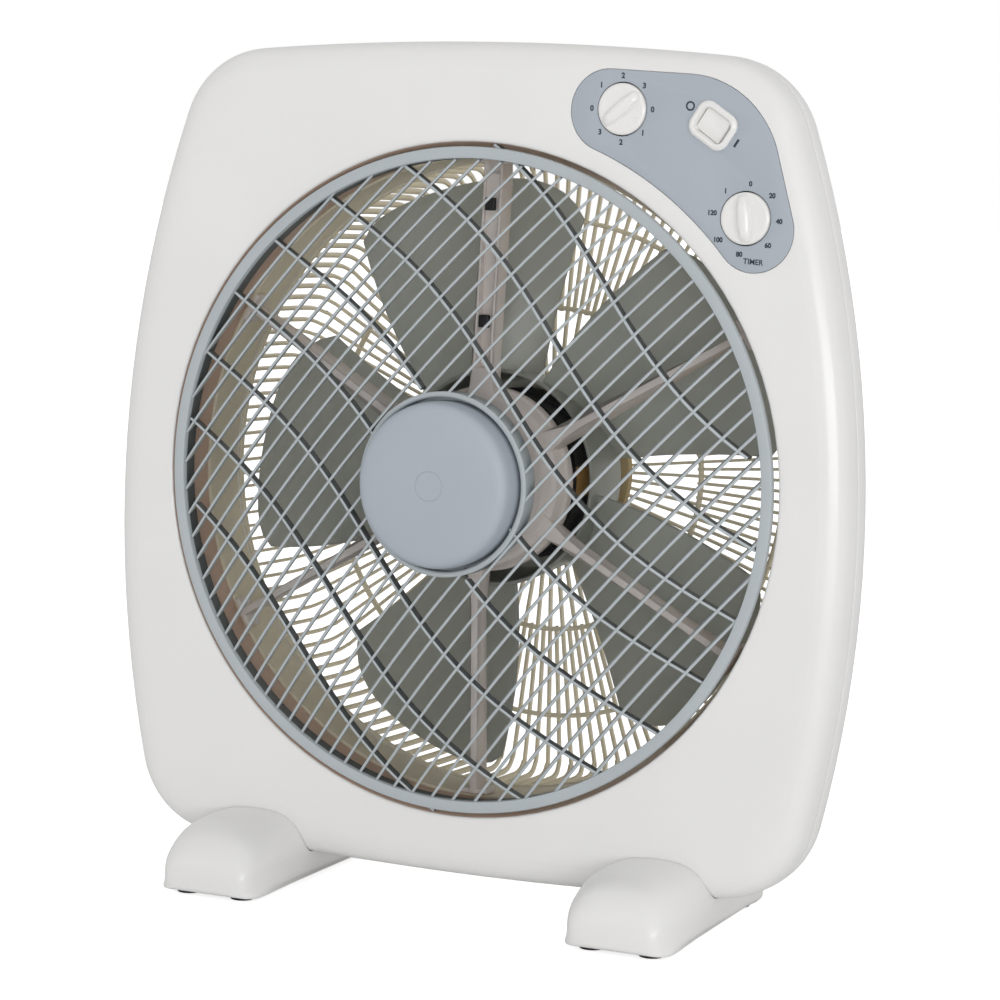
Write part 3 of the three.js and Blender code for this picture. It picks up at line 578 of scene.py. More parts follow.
def front_shell():
    edge = smooth_path(list(reversed(FRONT_EDGE)), 6)
    rings = [outline_ring(PARTING_Y, 0.5), outline_ring(PARTING_Y - 0.5, 0)]
    rings += [outline_ring(y, inset) for y, inset in edge]
    face, lip = rings[-1], circle_ring(FACE_Y, APERTURE_R + 2.2)
    rings += [between(face, lip, t) for t in (0.15, 0.5, 0.85)] + [lip]
    rings += [circle_ring(FACE_Y + dy, APERTURE_R + dr) for dy, dr in ((0.15, 1.2), (0.5, 0.4), (1.1, 0))]
    shell = solidify(loft("front_housing", rings, ends="open"))
    recess = plate("recess", panel_outline(0.35), FACE_Y - 1, FACE_Y + 1.8)
    cut(shell, recess, *control_holes(FACE_Y + 9))
    return finish_piece(bevel(shell, 0.35), "housing", "body_white", "front_shell")


def ducts():
    """The wall round the impeller: a cone behind the aperture, then a straight stretch in the rear shell."""
    r, y = FRONT_DUCT["r"], FRONT_DUCT["rear_y"]
    front_y = FACE_Y + 1.3
    cone = rounded([(APERTURE_R, front_y), (APERTURE_R + 2, front_y), (r + 2.4, y), (r, y)], 0.6, 2)
    duct = turned("front_duct", cone, segments=192)
    # The front duct is white housing plastic, given the brown painted shade.
    finish_piece(duct, "housing", "spider_white", "front_shell", material=DUCT_PAINTED_SHADE)
    r = REAR_DUCT_R
    wall = rounded([(r, y + 0.4), (r + 2.2, y + 0.4), (r + 2.2, BACK_Y - 2), (r, BACK_Y - 2)], 0.6, 2)
    finish_piece(turned("rear_duct", wall, segments=192), "housing", "guard_cream", "rear_shell")


def solidify(obj):
    """Gives an open skin the shell's thickness, inwards."""
    flip_to_outside(obj)
    modifier = obj.modifiers.new("wall", "SOLIDIFY")
    modifier.thickness = SHELL * MM
    modifier.offset = -1
    return bake(obj)


def flip_to_outside(obj):
    """Turns an open skin's faces so that its first face looks away from the fan's axis."""
    face = obj.data.polygons[0]
    away = Vector((face.center.x, 0, face.center.z - AXIS_Z * MM))
    if face.normal.dot(away) < 0:
        obj.data.flip_normals()


def rear_shell():
    edge = smooth_path(REAR_EDGE, 6)
    rings = [outline_ring(PARTING_Y + 0.4, 0.5), outline_ring(PARTING_Y + 0.9, 0)]
    rings += [outline_ring(y, inset) for y, inset in [(-5, 0), *edge]]
    back, lip = rings[-1], circle_ring(BACK_Y, REAR_DUCT_R + 6)
    rings += [between(back, lip, t) for t in (0.3, 0.7)] + [lip]
    rings += [circle_ring(BACK_Y - dy, REAR_DUCT_R + dr) for dy, dr in ((0.3, 1.2), (1.2, 0.2), (1.8, 0))]
    shell = solidify(loft("rear_housing", rings, ends="open"))
    holes = [disc_tool("hole", SCREW_HOLE_R, 14, BACK_Y + 4, x, z, 32) for x, z in CASE_SCREWS]
    cut(shell, *holes, disc_tool("gland_hole", 5.8, 10, BACK_Y + 4, *GLAND, 32))
    sleeve = [(SCREW_HOLE_R, 13), (5.6, 13), (5.6, 27), (SCREW_HOLE_R, 27)]
    sleeves = [turned("sleeve", sleeve, x=x, z=z, segments=32) for x, z in CASE_SCREWS]
    shell = merged("rear_housing", [bevel(shell, 0.4), *sleeves])
    return finish_piece(shell, "housing", "body_white", "rear_shell")


def rounded_bar(width, depth, roundness=0.7):
    """A bar's cross-section with rounded corners, as points about its middle."""
    w, d = width / 2, depth / 2
    return rounded([(-w, -d), (w, -d), (w, d), (-w, d)], min(w, d) * roundness, 2)


def swept(path, section, wide):
    """Rings of a cross-section along a path. The section's width lies along the vector wide."""
    rings = []
    for i, here in enumerate(path):
        ahead = (Vector(path[min(i + 1, len(path) - 1)]) - Vector(path[max(i - 1, 0)])).normalized()
        deep = ahead.cross(wide).normalized()
        rings.append([tuple(Vector(here) + wide * a + deep * b) for a, b in section])
    return rings


def rings_to_mesh(name, groups):
    """One mesh of several capped skins."""
    verts, faces = [], []
    for rings in groups:
        faces += skin(rings, "capped", len(verts))
        verts += [p for ring in rings for p in ring]
    return mesh_object(name, verts, faces)


def rear_guard():
    """Fine radial ribs that bend forward to the mouth, tied by rings."""
    bend = GUARD["bend_r"]
    groups = []
    section = rounded_bar(1.5, 3.2)
    for i in range(GUARD["ribs"]):
        start = GUARD["split_r"] - 1 if i % 2 else GUARD["hub_r"] - 2
        profile = smooth_path([(start, GUARD_Y - 2.6), (start + 6, GUARD_Y - 2.4), (bend - 14, GUARD_Y - 2.4),
                               (bend - 4, GUARD_Y - 4), (bend + 0.6, GUARD_Y - 9), (bend + 1.6, GUARD_Y - 20),
                               (bend + 1.8, BACK_Y + 1)], 4)
        c, s = polar(1, (i + 0.5) * 360 / GUARD["ribs"])
        path = [(r * c, y, AXIS_Z + r * s) for r, y in profile]
        groups.append(swept(path, section, Vector((-s, 0, c))))
    rings = []
    front, rear = GUARD_Y - 4, GUARD_Y - 0.8
    for r in (GUARD["split_r"], GUARD["ring_r"]):
        bar = [(r - 1.2, front), (r + 1.2, front), (r + 1.2, rear), (r - 1.2, rear)]
        rings.append(turned("ring", rounded(bar, 0.9, 3), segments=180))
    near, far = BACK_Y + 0.3, BACK_Y + 3.6
    mouth = [(bend - 0.5, near), (bend + 7, near), (bend + 6, far), (bend - 0.5, far)]
    parts = [rings_to_mesh("guard_ribs", groups), *rings, turned("mouth", rounded(mouth, 1), segments=180)]
    return finish_piece(merged("rear_guard_fine", parts), "housing", "guard_cream", "rear_guard")


def guard_disc():
    """The plain disc in the middle of the rear guard."""
    depths = [(0.01, 6.5), (40, 6.5), (45, 6), (46, 4), (45, 1.2), (42, 0.6), (30, 0.9), (0.01, 1.2)]
    disc = turned("guard_disc", [(r, GUARD_Y - depth) for r, depth in depths], segments=128)
    # The disc is cream guard plastic, coloured amber as painted shade.
    return finish_piece(disc, "housing", "guard_cream", "rear_guard", material=DISC_PAINTED_SHADE)


def spider():
    """A stepped cone and six arms that flare where they leave it. The upper arm is a channel for leads."""
    front = [(4.5, -26), (30, -26), (33.5, -23), (37.5, -15.5), (41, -12), (43.5, -11)]
    skirt = [(45.2, -5), (46.4, -3.5), (46.6, 1.5), (45.4, 1.5), (45.3, -1)]
    back = [(42, -1.2), (39.5, -9), (34, -13), (29, -23.4), (4.5, -23.4)]
    parts = [turned("cone", rounded([*front, *skirt, *back], 1.0, 3), segments=128)]
    reach = REAR_DUCT_R - 0.5
    side = [(38, -13), (46, -11.5), (54, -11.1), (FLARE_R, -10.6), (reach - 12, -5.5), (reach, -5.5),
            (reach, 6), (reach - 12, 7), (FLARE_R, 0.4), (54, -0.6), (47, -1.6), (41, -6)]
    for i, angle in enumerate(ARM_ANGLES):
        arm = PLAIN_ARM if i else CHANNEL_ARM
        widths = [arm["half"] + arm["flare"] * max(0, (FLARE_R - r) / FLARE_LENGTH) ** 2 for r, y in side]
        flanks = [[(r, y, t * width) for (r, y), width in zip(side, widths)] for t in (-1, 1)]
        parts.append(rotated(bevel(loft("arm", flanks), 0.5), angle))
        foot = rounded([(-8, -5.2), (8, -5.2), (8, 6.2), (-8, 6.2)], 1.5, 3)
        pad = [[(r, y, t) for t, y in foot] for r in (reach - 2.6, reach - 0.2)]
        parts.append(rotated(bevel(loft("arm_foot", pad), 0.4), angle))
    cut(parts[1], cuboid("channel", 7.6, 96, -16, -4.5, AXIS_Z + 104))
    return finish_piece(merged("spider_fine", parts), "housing", "spider_white", "front_spider")


def rotated(obj, degrees):
    """Swings a shape drawn along +X, with its third coordinate upwards, round the fan's axis."""
    turn = Matrix.Rotation(-math.radians(degrees), 4, "Y")
    obj.data.transform(Matrix.Translation((0, 0, AXIS_Z * MM)) @ turn)
    return obj


def wire_clip(name, dz, y, node):
    clip = bevel(cuboid(name, 5.4, 6.4, y - 1.2, y + 1.4, AXIS_Z + dz), 0.6, 3)
    return finish_piece(clip, "housing", "black_plastic", node)


# ---- Turning grille --------------------------------------------------------------------------


def dome(r):
    return DOME_HEIGHT * (1 - (r / LATTICE_REACH) ** 2)


def lattice_point(u, v, depth, lean=0.0):
    """u is measured across the slats, v along them, and depth is behind the dome's front."""
    s = u - lean * depth
    c, d = math.cos(PATTERN_ANGLE), math.sin(PATTERN_ANGLE)
    return s * d + v * c, RIM["front_y"] - dome(math.hypot(u, v)) + depth, AXIS_Z - s * c + v * d


def spans(offset):
    """The stretches along a line at this offset from the middle that lie between the hub ring and the rim."""
    reach, hole = RIM["r"] - RIM["width"] + 0.8, HUB_RING["r"] - 1.2
    outer = math.sqrt(reach**2 - offset**2)
    if abs(offset) >= hole:
        return [(-outer, outer)]
    inner = math.sqrt(hole**2 - offset**2)
    return [(-outer, -inner), (inner, outer)]


def slat_rings(k):
    section = rounded_bar(SLATS["thickness"], SLATS["depth"])
    offset = k * SLATS["pitch"]
    for start, end in spans(offset):
        steps = max(4, round((end - start) / 12))
        rings = []
        for i in range(steps + 1):
            v = start + (end - start) * i / steps
            u = offset + SLATS["bow"] * v * v
            middle = SLATS["depth"] / 2 + SLATS["set_back"]
            rings.append([lattice_point(u + a, v, b + middle, SLATS["lean"]) for a, b in section])
        yield rings


def rib_rings(k):
    section = rounded_bar(RIBS["thickness"], RIBS["depth"], 0.35)
    offset = (k - (RIBS["count"] - 1) / 2) * RIBS["pitch"]
    for start, end in spans(offset):
        steps = max(6, round((end - start) / 8))
        rings = []
        for i in range(steps + 1):
            u = start + (end - start) * i / steps
            v = offset - RIBS["wave"] * math.sin(2 * math.pi * u / RIBS["wave_length"])
            middle = RIBS["depth"] / 2 + RIBS["set_back"]
            rings.append([lattice_point(u, v + a, b + middle) for a, b in section])
        yield rings


def louvre_rim():
    r, y = RIM["r"], RIM["front_y"]
    inner, flange = r - RIM["width"], y + RIM["flange"]
    profile = [(inner, y + 1.1), (inner + 0.35, y + 0.25), (inner + 1.2, y), (r - 1.2, y),
               (r - 0.35, y + 0.3), (r, y + 1.2), (r, flange - 0.3), (r - 0.3, flange), (inner, flange)]
    return turned("rim", profile, segments=192)


def louvre_skirt():
    """The wall that stands back from the rim's inner edge."""
    inner = RIM["r"] - RIM["width"]
    outer = inner + RIM["wall"]
    front, rear = RIM["front_y"] + RIM["flange"] - 0.5, RIM["front_y"] + RIM["depth"]
    profile = [(inner + 0.05, front), (outer, front), (outer, rear), (inner, rear)]
    return turned("louvre_skirt", profile, segments=192)


def louvre_hub():
    """The ring round the cap, closed by a web at its rear, with a boss for the spindle."""
    outer, inner = HUB_RING["r"], HUB_RING["r"] - HUB_RING["width"]
    front = RIM["front_y"] - dome(outer) - 0.4
    rear = front + HUB_RING["depth"]
    profile = [(inner, front + 0.7), (inner + 0.7, front), (outer - 0.8, front), (outer, front + 0.8),
               (outer, rear), (9, rear), (9, front + 22), (4, front + 22), (4, rear - 2), (inner, rear - 2)]
    return turned("hub_ring", profile, segments=128)


def louvre():
    """The turning grille: ribs and skirt in the slate with painted shade on their sides, then slats, rim and
    hub ring in one.
    """
    count = SLATS["each_side"]
    slats = rings_to_mesh("slats", [rings for k in range(-count, count + 1) for rings in slat_rings(k)])
    ribs = rings_to_mesh("louvre_ribs", [rings for k in range(RIBS["count"]) for rings in rib_rings(k)])
    for piece in (ribs, louvre_skirt()):
        # The ribs and the skirt get the rib material, with its painted shade on their sides.
        finish_piece(piece, "turning_grille", "grille_slate", "louvre_grille", material=RIB)
    whole = merged("louvre_fine", [slats, louvre_rim(), louvre_hub()])
    return finish_piece(whole, "turning_grille", "grille_slate", "louvre_grille")


def hub_cap():
    r, y = HUB_CAP["r"], HUB_CAP["front_y"]
    rear = HUB_CAP["rear_y"]
    depths = [(7.6, 0.05), (20, 0.15), (31, 0.5), (36.5, 1.3), (39.4, 3.2), (40.6, 6), (r, 10)]
    crown = smooth_path([(radius, y + depth) for radius, depth in depths], 5)
    centre = [(0.01, y + 0.05), (6.9, y + 0.05), (7.1, y + 0.3), (7.4, y + 0.3)]
    inside = [(r, rear), (r - 2.2, rear), (r - 2.2, y + 9), (r - 5, y + 4), (0.01, y + 2.2)]
    cap = turned("centre_cap", [*centre, *crown, *inside], segments=160)
    return finish_piece(cap, "turning_grille", "panel_blue_grey", "hub_cap")


# ---- Impeller --------------------------------------------------------------------------------


def blade_point(index, out, chord):
    """A blade's point: out is 0 at the hub and 1 at the tip, chord 0 at the deep edge and 1 at the near."""
    root_rise, tip_rise = BLADES["root_rise"], BLADES["tip_rise"]
    side = 2 * chord - 1
    corner = 18 * side**4 if side < 0 else 7 * side**8
    root_y = BLADES["deep_y"] - root_rise * chord**0.9
    taper = (root_y - HUB["front_y"]) / (HUB["rear_y"] - HUB["front_y"])
    root = HUB["r"] - 1 - (HUB["r"] - HUB["rear_r"]) * taper
    r = root + (BLADES["tip_r"] - corner - root) * out
    lead, trail = -24 - 5 * out, 30 - 11 * out
    angle = math.radians(BLADES["first"] + index * 360 / BLADES["count"] + lead + (trail - lead) * chord)
    rise = (1 - out) * root_rise * chord**0.9 + out * tip_rise * chord**1.3
    return r * math.cos(angle), BLADES["deep_y"] - rise, AXIS_Z + r * math.sin(angle)


def blade(index):
    across, along = 14, 18
    verts = [blade_point(index, i / across, j / along) for i in range(across + 1) for j in range(along + 1)]
    row = along + 1
    faces = [(i * row + j, i * row + j + 1, (i + 1) * row + j + 1, (i + 1) * row + j)
             for i in range(across) for j in range(along)]
    sheet = mesh_object("blade", verts, faces)
    modifier = sheet.modifiers.new("thickness", "SOLIDIFY")
    modifier.thickness = BLADES["thickness"] * MM
    modifier.offset = 0
    return bevel(sheet, 0.6, 2, 60)


def impeller():
    rim_r, rim_y, rear_r, rear = HUB["rim_r"], HUB["rim_y"], HUB["rear_r"], HUB["rear_y"]
    boss_r, boss_y, bore_r = HUB["boss_r"], HUB["boss_y"], HUB["bore_r"]
    outside = [(rim_r - 2, rim_y), (rim_r, rim_y), (rear_r, rear - 3), (rear_r - 3, rear)]
    boss = [(boss_r, rear), (boss_r, boss_y), (bore_r, boss_y), (bore_r, rear - 6), (boss_r, rear - 6)]
    inside = [(boss_r, rear - 2.5), (rear_r - 4.5, rear - 2.5), (rear_r - 2, rear - 5)]
    hub = turned("hub", rounded([*outside, *boss, *inside], 0.9, 3), segments=128)
    parts = [hub, *(blade(i) for i in range(BLADES["count"]))]
    return finish_piece(merged("impeller_fine", parts), "impeller", "blade_smoke", "impeller")


# ---- Motor -----------------------------------------------------------------------------------


def motor_bracket():
    """The front bracket: a cup with six windows, through which the winding shows."""
    wall = [(10, -0.4), (43.3, -0.4), (44.2, 0.8), (44.2, 11), (42.9, 11), (42.9, 2), (10, 2)]
    cup = turned("bracket", rounded(wall, 0.5, 3), segments=96)
    opening = [(1.6, -8), (1.6, 8), (9.6, 8), (9.6, -8)]
    bar = [[(r, y, t) for y, t in opening] for r in (-50, 50)]
    windows = [rotated(loft("slot", bar), angle) for angle in (0, 60, 120)]
    return finish_piece(bevel(cut(cup, *windows), 0.4), "housing", "black_plastic", "motor_front_bracket")


def winding(name, y0, y1, node):
    """A coil end: a ring of wire whose outside bulges in bundles."""
    rings = []
    steps = 144
    for i in range(steps):
        angle = 360 * i / steps
        bulge = COIL["bulge"] * abs(math.sin(math.radians(angle * COIL["bundles"] / 2)))
        inner, outer = COIL["inner_r"] - bulge * 0.3, COIL["outer_r"] + bulge
        section = [(inner, y0 + 2), (30, y0 + 0.3), (36, y0), (40, y0 + 0.4), (outer, y0 + 2.5),
                   (outer, y1 - 2.5), (40, y1 - 0.4), (36, y1), (30, y1 - 0.3), (inner, y1 - 2)]
        c, s = polar(1, angle)
        rings.append([(r * c, y, AXIS_Z + r * s) for r, y in section])
    coil = loft(name, rings, ends="joined")
    return finish_piece(coil, "housing", "copper_wire", node)


def winding_straps():
    """Two bundles of wire that run back over the core, one at each side."""
    section = [(42.6, -7.5), (43.5, -6), (43.5, 6), (42.6, 7.5)]
    strap = [[(r, y, t) for r, t in section] for y in (9.8, 27.6)]
    straps = [rotated(loft("strap", strap), angle) for angle in (0, 180)]
    return finish_piece(merged("coil_straps", straps), "housing", "copper_wire", "winding_front")


# ---- Controls --------------------------------------------------------------------------------


def panel():
    face = plate("control_face", panel_outline(), FACE_Y, FACE_Y + 1.5)
    cut(face, *control_holes(FACE_Y + 3))
    return finish_piece(bevel(face, 0.25, 2), "housing", "panel_blue_grey", "control_panel")


def knob(name, spec, body, node):
    """A dial with a soft edge and a raised grip that swells in the middle."""
    r, front, rear = KNOB["r"], KNOB["front_y"], KNOB["rear_y"]
    dial = [(0.01, front + 0.5), (9.4, front + 0.4), (10.6, front), (11.6, front + 0.15), (12.3, front + 0.8),
            (r, front + 1.8), (r, rear), (3.3, rear), (3.3, rear - 6), (0.01, rear - 6)]
    base = turned(name, dial, x=spec["x"], z=spec["z"], segments=96)
    grip = []
    steps = 20
    for i in range(steps + 1):
        t = -1 + 2 * i / steps
        along = t * (r - 1.4)
        half = 2.1 + 1.3 * (1 - t * t)
        top = 3.1 * (1 - abs(t) ** 6 * 0.75)
        section = [(-half - 0.5, 0.9), (-half, 0.2), (-half * 0.8, -top * 0.75), (-half * 0.45, -top),
                   (half * 0.45, -top), (half * 0.8, -top * 0.75), (half, 0.2), (half + 0.5, 0.9)]
        grip.append([(along, front + y, w) for w, y in section])
    bar = loft("grip", grip)
    turn = Matrix.Rotation(-math.radians(spec["grip"]), 4, "Y")
    bar.data.transform(Matrix.Translation((spec["x"] * MM, 0, spec["z"] * MM)) @ turn)
    return finish_piece(merged(name, [base, bar]), body, "control_white", node)


def rocker_bezel():
    """A soft raised frame, with a slanted lip down to the key."""
    # Each point: how far in from the outline, how far behind the frame's foot, and the corner radius there.
    profile = [(0, 0.3, 6), (0, -0.9, 6), (0.5, -1.6, 5.7), (1.5, -2.1, 5), (2.5, -1.8, 4.2), (3.1, -0.9, 3),
               (3.2, 12, 2.6), (2.2, 12, 3.4), (2.2, 0.3, 3.4)]
    rings = []
    for inset, dy, r in profile:
        shape = slanted_rectangle(ROCKER["length"] - 2 * inset, ROCKER["height"] - 2 * inset, r)
        rings.append([(x, FACE_Y + dy - 0.3, z) for x, z in shape])
    bezel = loft("rocker_bezel", rings, ends="joined")
    return finish_piece(bezel, "housing", "control_white", "rocker_frame")


def rocker_key():
    """A key with a dished face, pressed in at its upper left end."""
    half = 6.0
    top = smooth_path([(-7.1, -4.5), (-4, -4.1), (0, -3.9), (4, -4.1), (7.1, -4.5)], 4)
    side = [*top, (7.4, -3.8), (6.6, 4), (-6.6, 4), (-7.4, -3.8)]
    rings = [[(x * (1 - 0.03 * edge), y + 0.35 * edge, z) for x, y in side]
             for z, edge in ((-half, 1), (-half + 0.5, 0), (half - 0.5, 0), (half, 1))]
    key = loft("rocker_rest", rings)
    tilt = Matrix.Rotation(-math.radians(6), 4, "Z")
    turn = Matrix.Rotation(-math.radians(ROCKER["turn"]), 4, "Y")
    place = Matrix.Translation((ROCKER["x"] * MM, ROCKER["pivot_y"] * MM, ROCKER["z"] * MM))
    key.data.transform(place @ turn @ tilt)
    return finish_piece(key, "rocker", "control_white", "rocker_key")


def printed(text, x, z, size, turn=0, weight=0.16):
    """Printed figures that stand a hair proud of the panel."""
    curve = bpy.data.curves.new("print", "FONT")
    curve.body = text
    curve.size = size * MM
    curve.align_x = "CENTER"
    curve.align_y = "CENTER"
    curve.extrude = 0.03 * MM
    curve.offset = weight * MM
    obj = bpy.data.objects.new("print", curve)
    scene.collection.objects.link(obj)
    bpy.context.view_layer.update()
    made = bpy.data.meshes.new_from_object(obj.evaluated_get(bpy.context.evaluated_depsgraph_get()))
    bpy.data.objects.remove(obj)
    mark = bpy.data.objects.new("print_mesh", made)
    scene.collection.objects.link(mark)
    upright = Matrix.Rotation(math.radians(90), 4, "X")
    swing = Matrix.Rotation(-math.radians(turn), 4, "Y")
    made.transform(Matrix.Translation((x * MM, (FACE_Y - 0.02) * MM, z * MM)) @ swing @ upright)
    return mark


def dial_marks():
    speed, timer = SPEED_KNOB, TIMER_KNOB
    marks = []
    for i, figure in enumerate(SPEED_FIGURES["text"]):
        dx, dz = polar(SPEED_FIGURES["r"], 45 * i)
        marks.append(printed(figure, speed["x"] + dx, speed["z"] + dz, SPEED_FIGURES["size"]))
    for angle, figure in TIMER_SCALE:
        dx, dz = polar(TIMER_FIGURES["wide_r" if len(figure) > 1 else "r"], angle)
        marks.append(printed(figure, timer["x"] + dx, timer["z"] + dz, TIMER_FIGURES["size"]))
    inner, outer, front, rear = 1.5, 2.35, FACE_Y - 0.05, FACE_Y + 0.05
    ring = rounded([(inner, front), (outer, front), (outer, rear), (inner, rear)], 0.02, 1)
    marks.append(turned("off", ring, x=114.5, z=AXIS_Z + 187, segments=40))
    marks.append(printed("I", 138.6, AXIS_Z + 169.8, size=5.2, turn=ROCKER["turn"], weight=0.35))
    marks.append(printed("TIMER", timer["x"] + 4.8, timer["z"] - 20.4, size=3.7, turn=-3, weight=0.08))
    return finish_piece(merged("dial_marks", marks), "housing", "panel_blue_grey", material=INK)


# ---- Feet ------------------------------------------------------------------------------------


def foot(name, side, node):
    """A soft block that the body stands in: flared and domed at the front, long and low behind."""
    lower = [(0.1, 0.06), (0.5, 0.115), (0.85, 0.2), (1, 0.42)]
    upper = [(0.98, 0.55), (0.93, 0.65), (0.85, 0.76), (0.73, 0.865), (0.5, 0.96), (0.2, 0.997), (0, 1)]
    rings = []
    for y, half, bottom, low, high in smooth_path(FOOT_STATIONS, 4):
        right = [(bottom - 2, 0), (bottom - 0.6, 0.012)]
        right += [(bottom + (half - bottom) * t, v) for t, v in lower]
        right += [(t * half, v) for t, v in upper]
        right = [(x, low + v * (high - low)) for x, v in smooth_path(right, 3)]
        section = right + [(-x, z) for x, z in reversed(right[:-1])]
        rings.append([(side * FOOT_X + x, y, z) for x, z in section])
    block = loft(name, rings)
    front_edge, rear_edge = smooth_path(FRONT_EDGE, 5), smooth_path([(PARTING_Y, 0), *REAR_EDGE], 5)
    nest_rings = [outline_ring(y - FIT, inset - FIT) for y, inset in front_edge]
    nest_rings += [outline_ring(y + FIT, inset - FIT) for y, inset in rear_edge]
    basket = disc_tool("basket", GUARD["bend_r"] + 9, BACK_Y - 5, GUARD_Y + 5, segments=128)
    cut(block, loft("nest", nest_rings), basket)
    seats = [upright_disc("seat", PAD["r"] + FIT, 0, PAD["height"] + FIT, x, y) for x, y in pad_places(side)]
    cut(block, *seats)
    return finish_piece(bevel(block, 0.6, 3, 30), "housing", "body_white", node)


def pad_places(side):
    return [(side * FOOT_X + s * spread, y) for y, spread in PAD_ROWS for s in (-1, 1)]


def upright_disc(name, r, z0, z1, x, y):
    return loft(name, [[(px, py, z) for px, py in circle(r, x, y, 48)] for z in (z0, z1)])


def pad(name, x, y, node):
    piece = bevel(upright_disc(name, PAD["r"], 0, PAD["height"], x, y), 0.8, 4)
    return finish_piece(piece, "housing", "rubber_black", node)


def case_screw(name, x, z, node):
    """A pan-head screw with a cross recess."""
    shank = [(0.01, -17), (1.7, -17), (1.7, 14.2)]
    head = [(3.7, 14.2), (3.7, 15.2), (3.1, 16.4), (1.5, 16.9), (0.01, 17)]
    screw = turned(name, [*shank, *head], x=x, z=z, segments=40)
    length, width = 3.8, 0.7
    slots = [cuboid("slot", w, h, 15.2, 18, z, x) for w, h in ((length, width), (width, length))]
    return finish_piece(cut(screw, *slots), "housing", "steel", node)


def gland():
    flange, rear = BACK_Y + 0.3, BACK_Y + 6
    profile = rounded([(3.4, 20), (5.4, 20), (5.4, flange), (8, flange), (6.4, rear), (3.4, rear)], 0.8, 3)
    piece = turned("cord_gland_fine", profile, x=GLAND[0], z=GLAND[1], segments=48)
    return finish_piece(piece, "housing", "rubber_black", "cord_gland")


# ---- Assembly --------------------------------------------------------------------------------

front_shell()
rear_shell()
ducts()
rear_guard()
guard_disc()
spider()
wire_clip("clip_high", 137, -7.2, "wire_clip_upper")
wire_clip("clip_low", 79, -10, "wire_clip_lower")
louvre()
hub_cap()
impeller()
motor_bracket()
winding("coil_front", 3, 14, "winding_front")
winding("coil_rear", 30.3, 40, "winding_rear")
winding_straps()
panel()
knob("speed_dial", SPEED_KNOB, "speed_control", "speed_knob")
knob("timer_dial", TIMER_KNOB, "timer_control", "timer_knob")
rocker_bezel()
rocker_key()
dial_marks()
for side_name, side_sign in (("left", -1), ("right", 1)):
    foot(f"{side_name}_foot", side_sign, f"foot_{side_name}")
    for number, (px, py) in enumerate(pad_places(side_sign), 1):
        pad(f"{side_name}_pad_{number}", px, py, f"pad_{side_name}_{number}")
for number, (sx, sz) in enumerate(CASE_SCREWS, 1):
    case_screw(f"shell_screw_{number}", sx, sz, f"case_screw_{number}")
gland()

# CAD nodes that stay on show are inner pieces: they only get their slot's material.
node_slots = {entry["node"]: entry["material_slot"] for entry in frame["record"]["subparts"]}
for node_name, node in frame["nodes"].items():
    node.data.materials.clear()
    node.data.materials.append(LOOK[node_slots[node_name]])

# ---- Stage, light and camera -----------------------------------------------------------------


def seen_by_camera(tree):
    node = tree.nodes.new("ShaderNodeLightPath")
    return node.outputs["Is Camera Ray"]


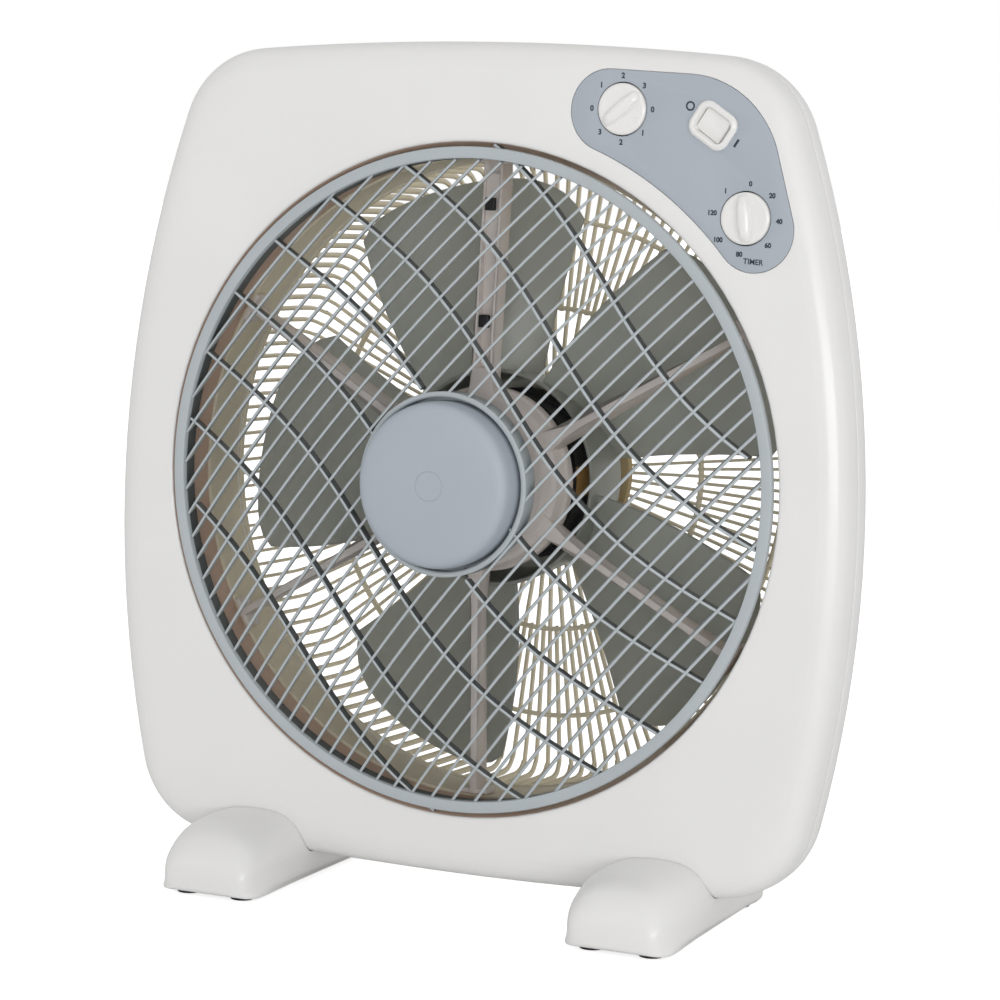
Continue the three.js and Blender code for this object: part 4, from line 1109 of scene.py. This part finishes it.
def stage():
    """A wide white floor, lifted to the white of the surroundings so that no horizon shows."""
    half = 30000
    corners = [(-half, -half, 0), (half, -half, 0), (half, half, 0), (-half, half, 0)]
    floor = mesh_object("floor", corners, [(0, 1, 2, 3)])
    material, tree, shader = new_material("pale_floor")
    coords = tree.nodes.new("ShaderNodeTexCoord")
    mottle = noise(tree, coords, scale=3, detail=4)
    colours = ramp(tree, mottle.outputs["Fac"], (0.91, 0.91, 0.91), (0.92, 0.92, 0.92))
    link(tree, colours.outputs["Color"], shader.inputs["Base Color"])
    shader.inputs["Roughness"].default_value = 0.9
    shader.inputs["Specular IOR Level"].default_value = 0.1
    lift = tree.nodes.new("ShaderNodeMath")
    lift.operation = "MULTIPLY"
    lift.inputs[1].default_value = 0.75
    link(tree, seen_by_camera(tree), lift.inputs[0])
    link(tree, lift.outputs["Value"], shader.inputs["Emission Strength"])
    shader.inputs["Emission Color"].default_value = (1, 1, 1, 1)
    floor.data.materials.append(material)
    floor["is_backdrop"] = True


def surroundings(lighting, seen):
    """White all round: the strength that lights the object, and the strength that the camera sees."""
    world = bpy.data.worlds.new("studio")
    world.use_nodes = True
    tree = world.node_tree
    background = tree.nodes["Background"]
    background.inputs["Color"].default_value = (1, 1, 1, 1)
    spread = tree.nodes.new("ShaderNodeMapRange")
    spread.inputs["To Min"].default_value = lighting
    spread.inputs["To Max"].default_value = seen
    link(tree, seen_by_camera(tree), spread.inputs["Value"])
    link(tree, spread.outputs["Result"], background.inputs["Strength"])
    scene.world = world


def area_light(name, place, target, size, power):
    light = bpy.data.lights.new(name, "AREA")
    light.shape = "RECTANGLE"
    light.size, light.size_y = size
    light.energy = power
    obj = bpy.data.objects.new(name, light)
    obj.location = place
    obj.rotation_mode = "QUATERNION"
    obj.rotation_quaternion = (Vector(target) - Vector(place)).to_track_quat("-Z", "Y")
    scene.collection.objects.link(obj)


def camera():
    azimuth, elevation, roll = (math.radians(CAMERA[turn]) for turn in ("azimuth", "elevation", "roll"))
    level = math.cos(elevation)
    back = Vector((math.sin(azimuth) * level, -math.cos(azimuth) * level, math.sin(elevation)))
    right = Vector((math.cos(azimuth), math.sin(azimuth), 0))
    up = back.cross(right)
    x_axis = math.cos(roll) * right + math.sin(roll) * up
    y_axis = math.cos(roll) * up - math.sin(roll) * right
    data = bpy.data.cameras.new("camera")
    data.lens = CAMERA["lens"]
    data.sensor_width = CAMERA["sensor"]
    data.clip_end = 60
    obj = bpy.data.objects.new("camera", data)
    axes = Matrix((x_axis, y_axis, back)).transposed().to_4x4()
    obj.matrix_world = Matrix.Translation(CAMERA["place"]) @ axes
    scene.collection.objects.link(obj)
    scene.camera = obj


scene.view_settings.view_transform = "Standard"
surroundings(lighting=0.68, seen=1.0)
stage()
area_light("key", place=(-1.6, -2.4, 0.6), target=(0, 0, 0.2), size=(1.6, 1.0), power=2)
area_light("front", place=(1.7, -2.3, 0.35), target=(0, 0, 0.1), size=(2.0, 0.6), power=22)
camera()

[[list(corner) for corner in box] for box in (cad_box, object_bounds())]
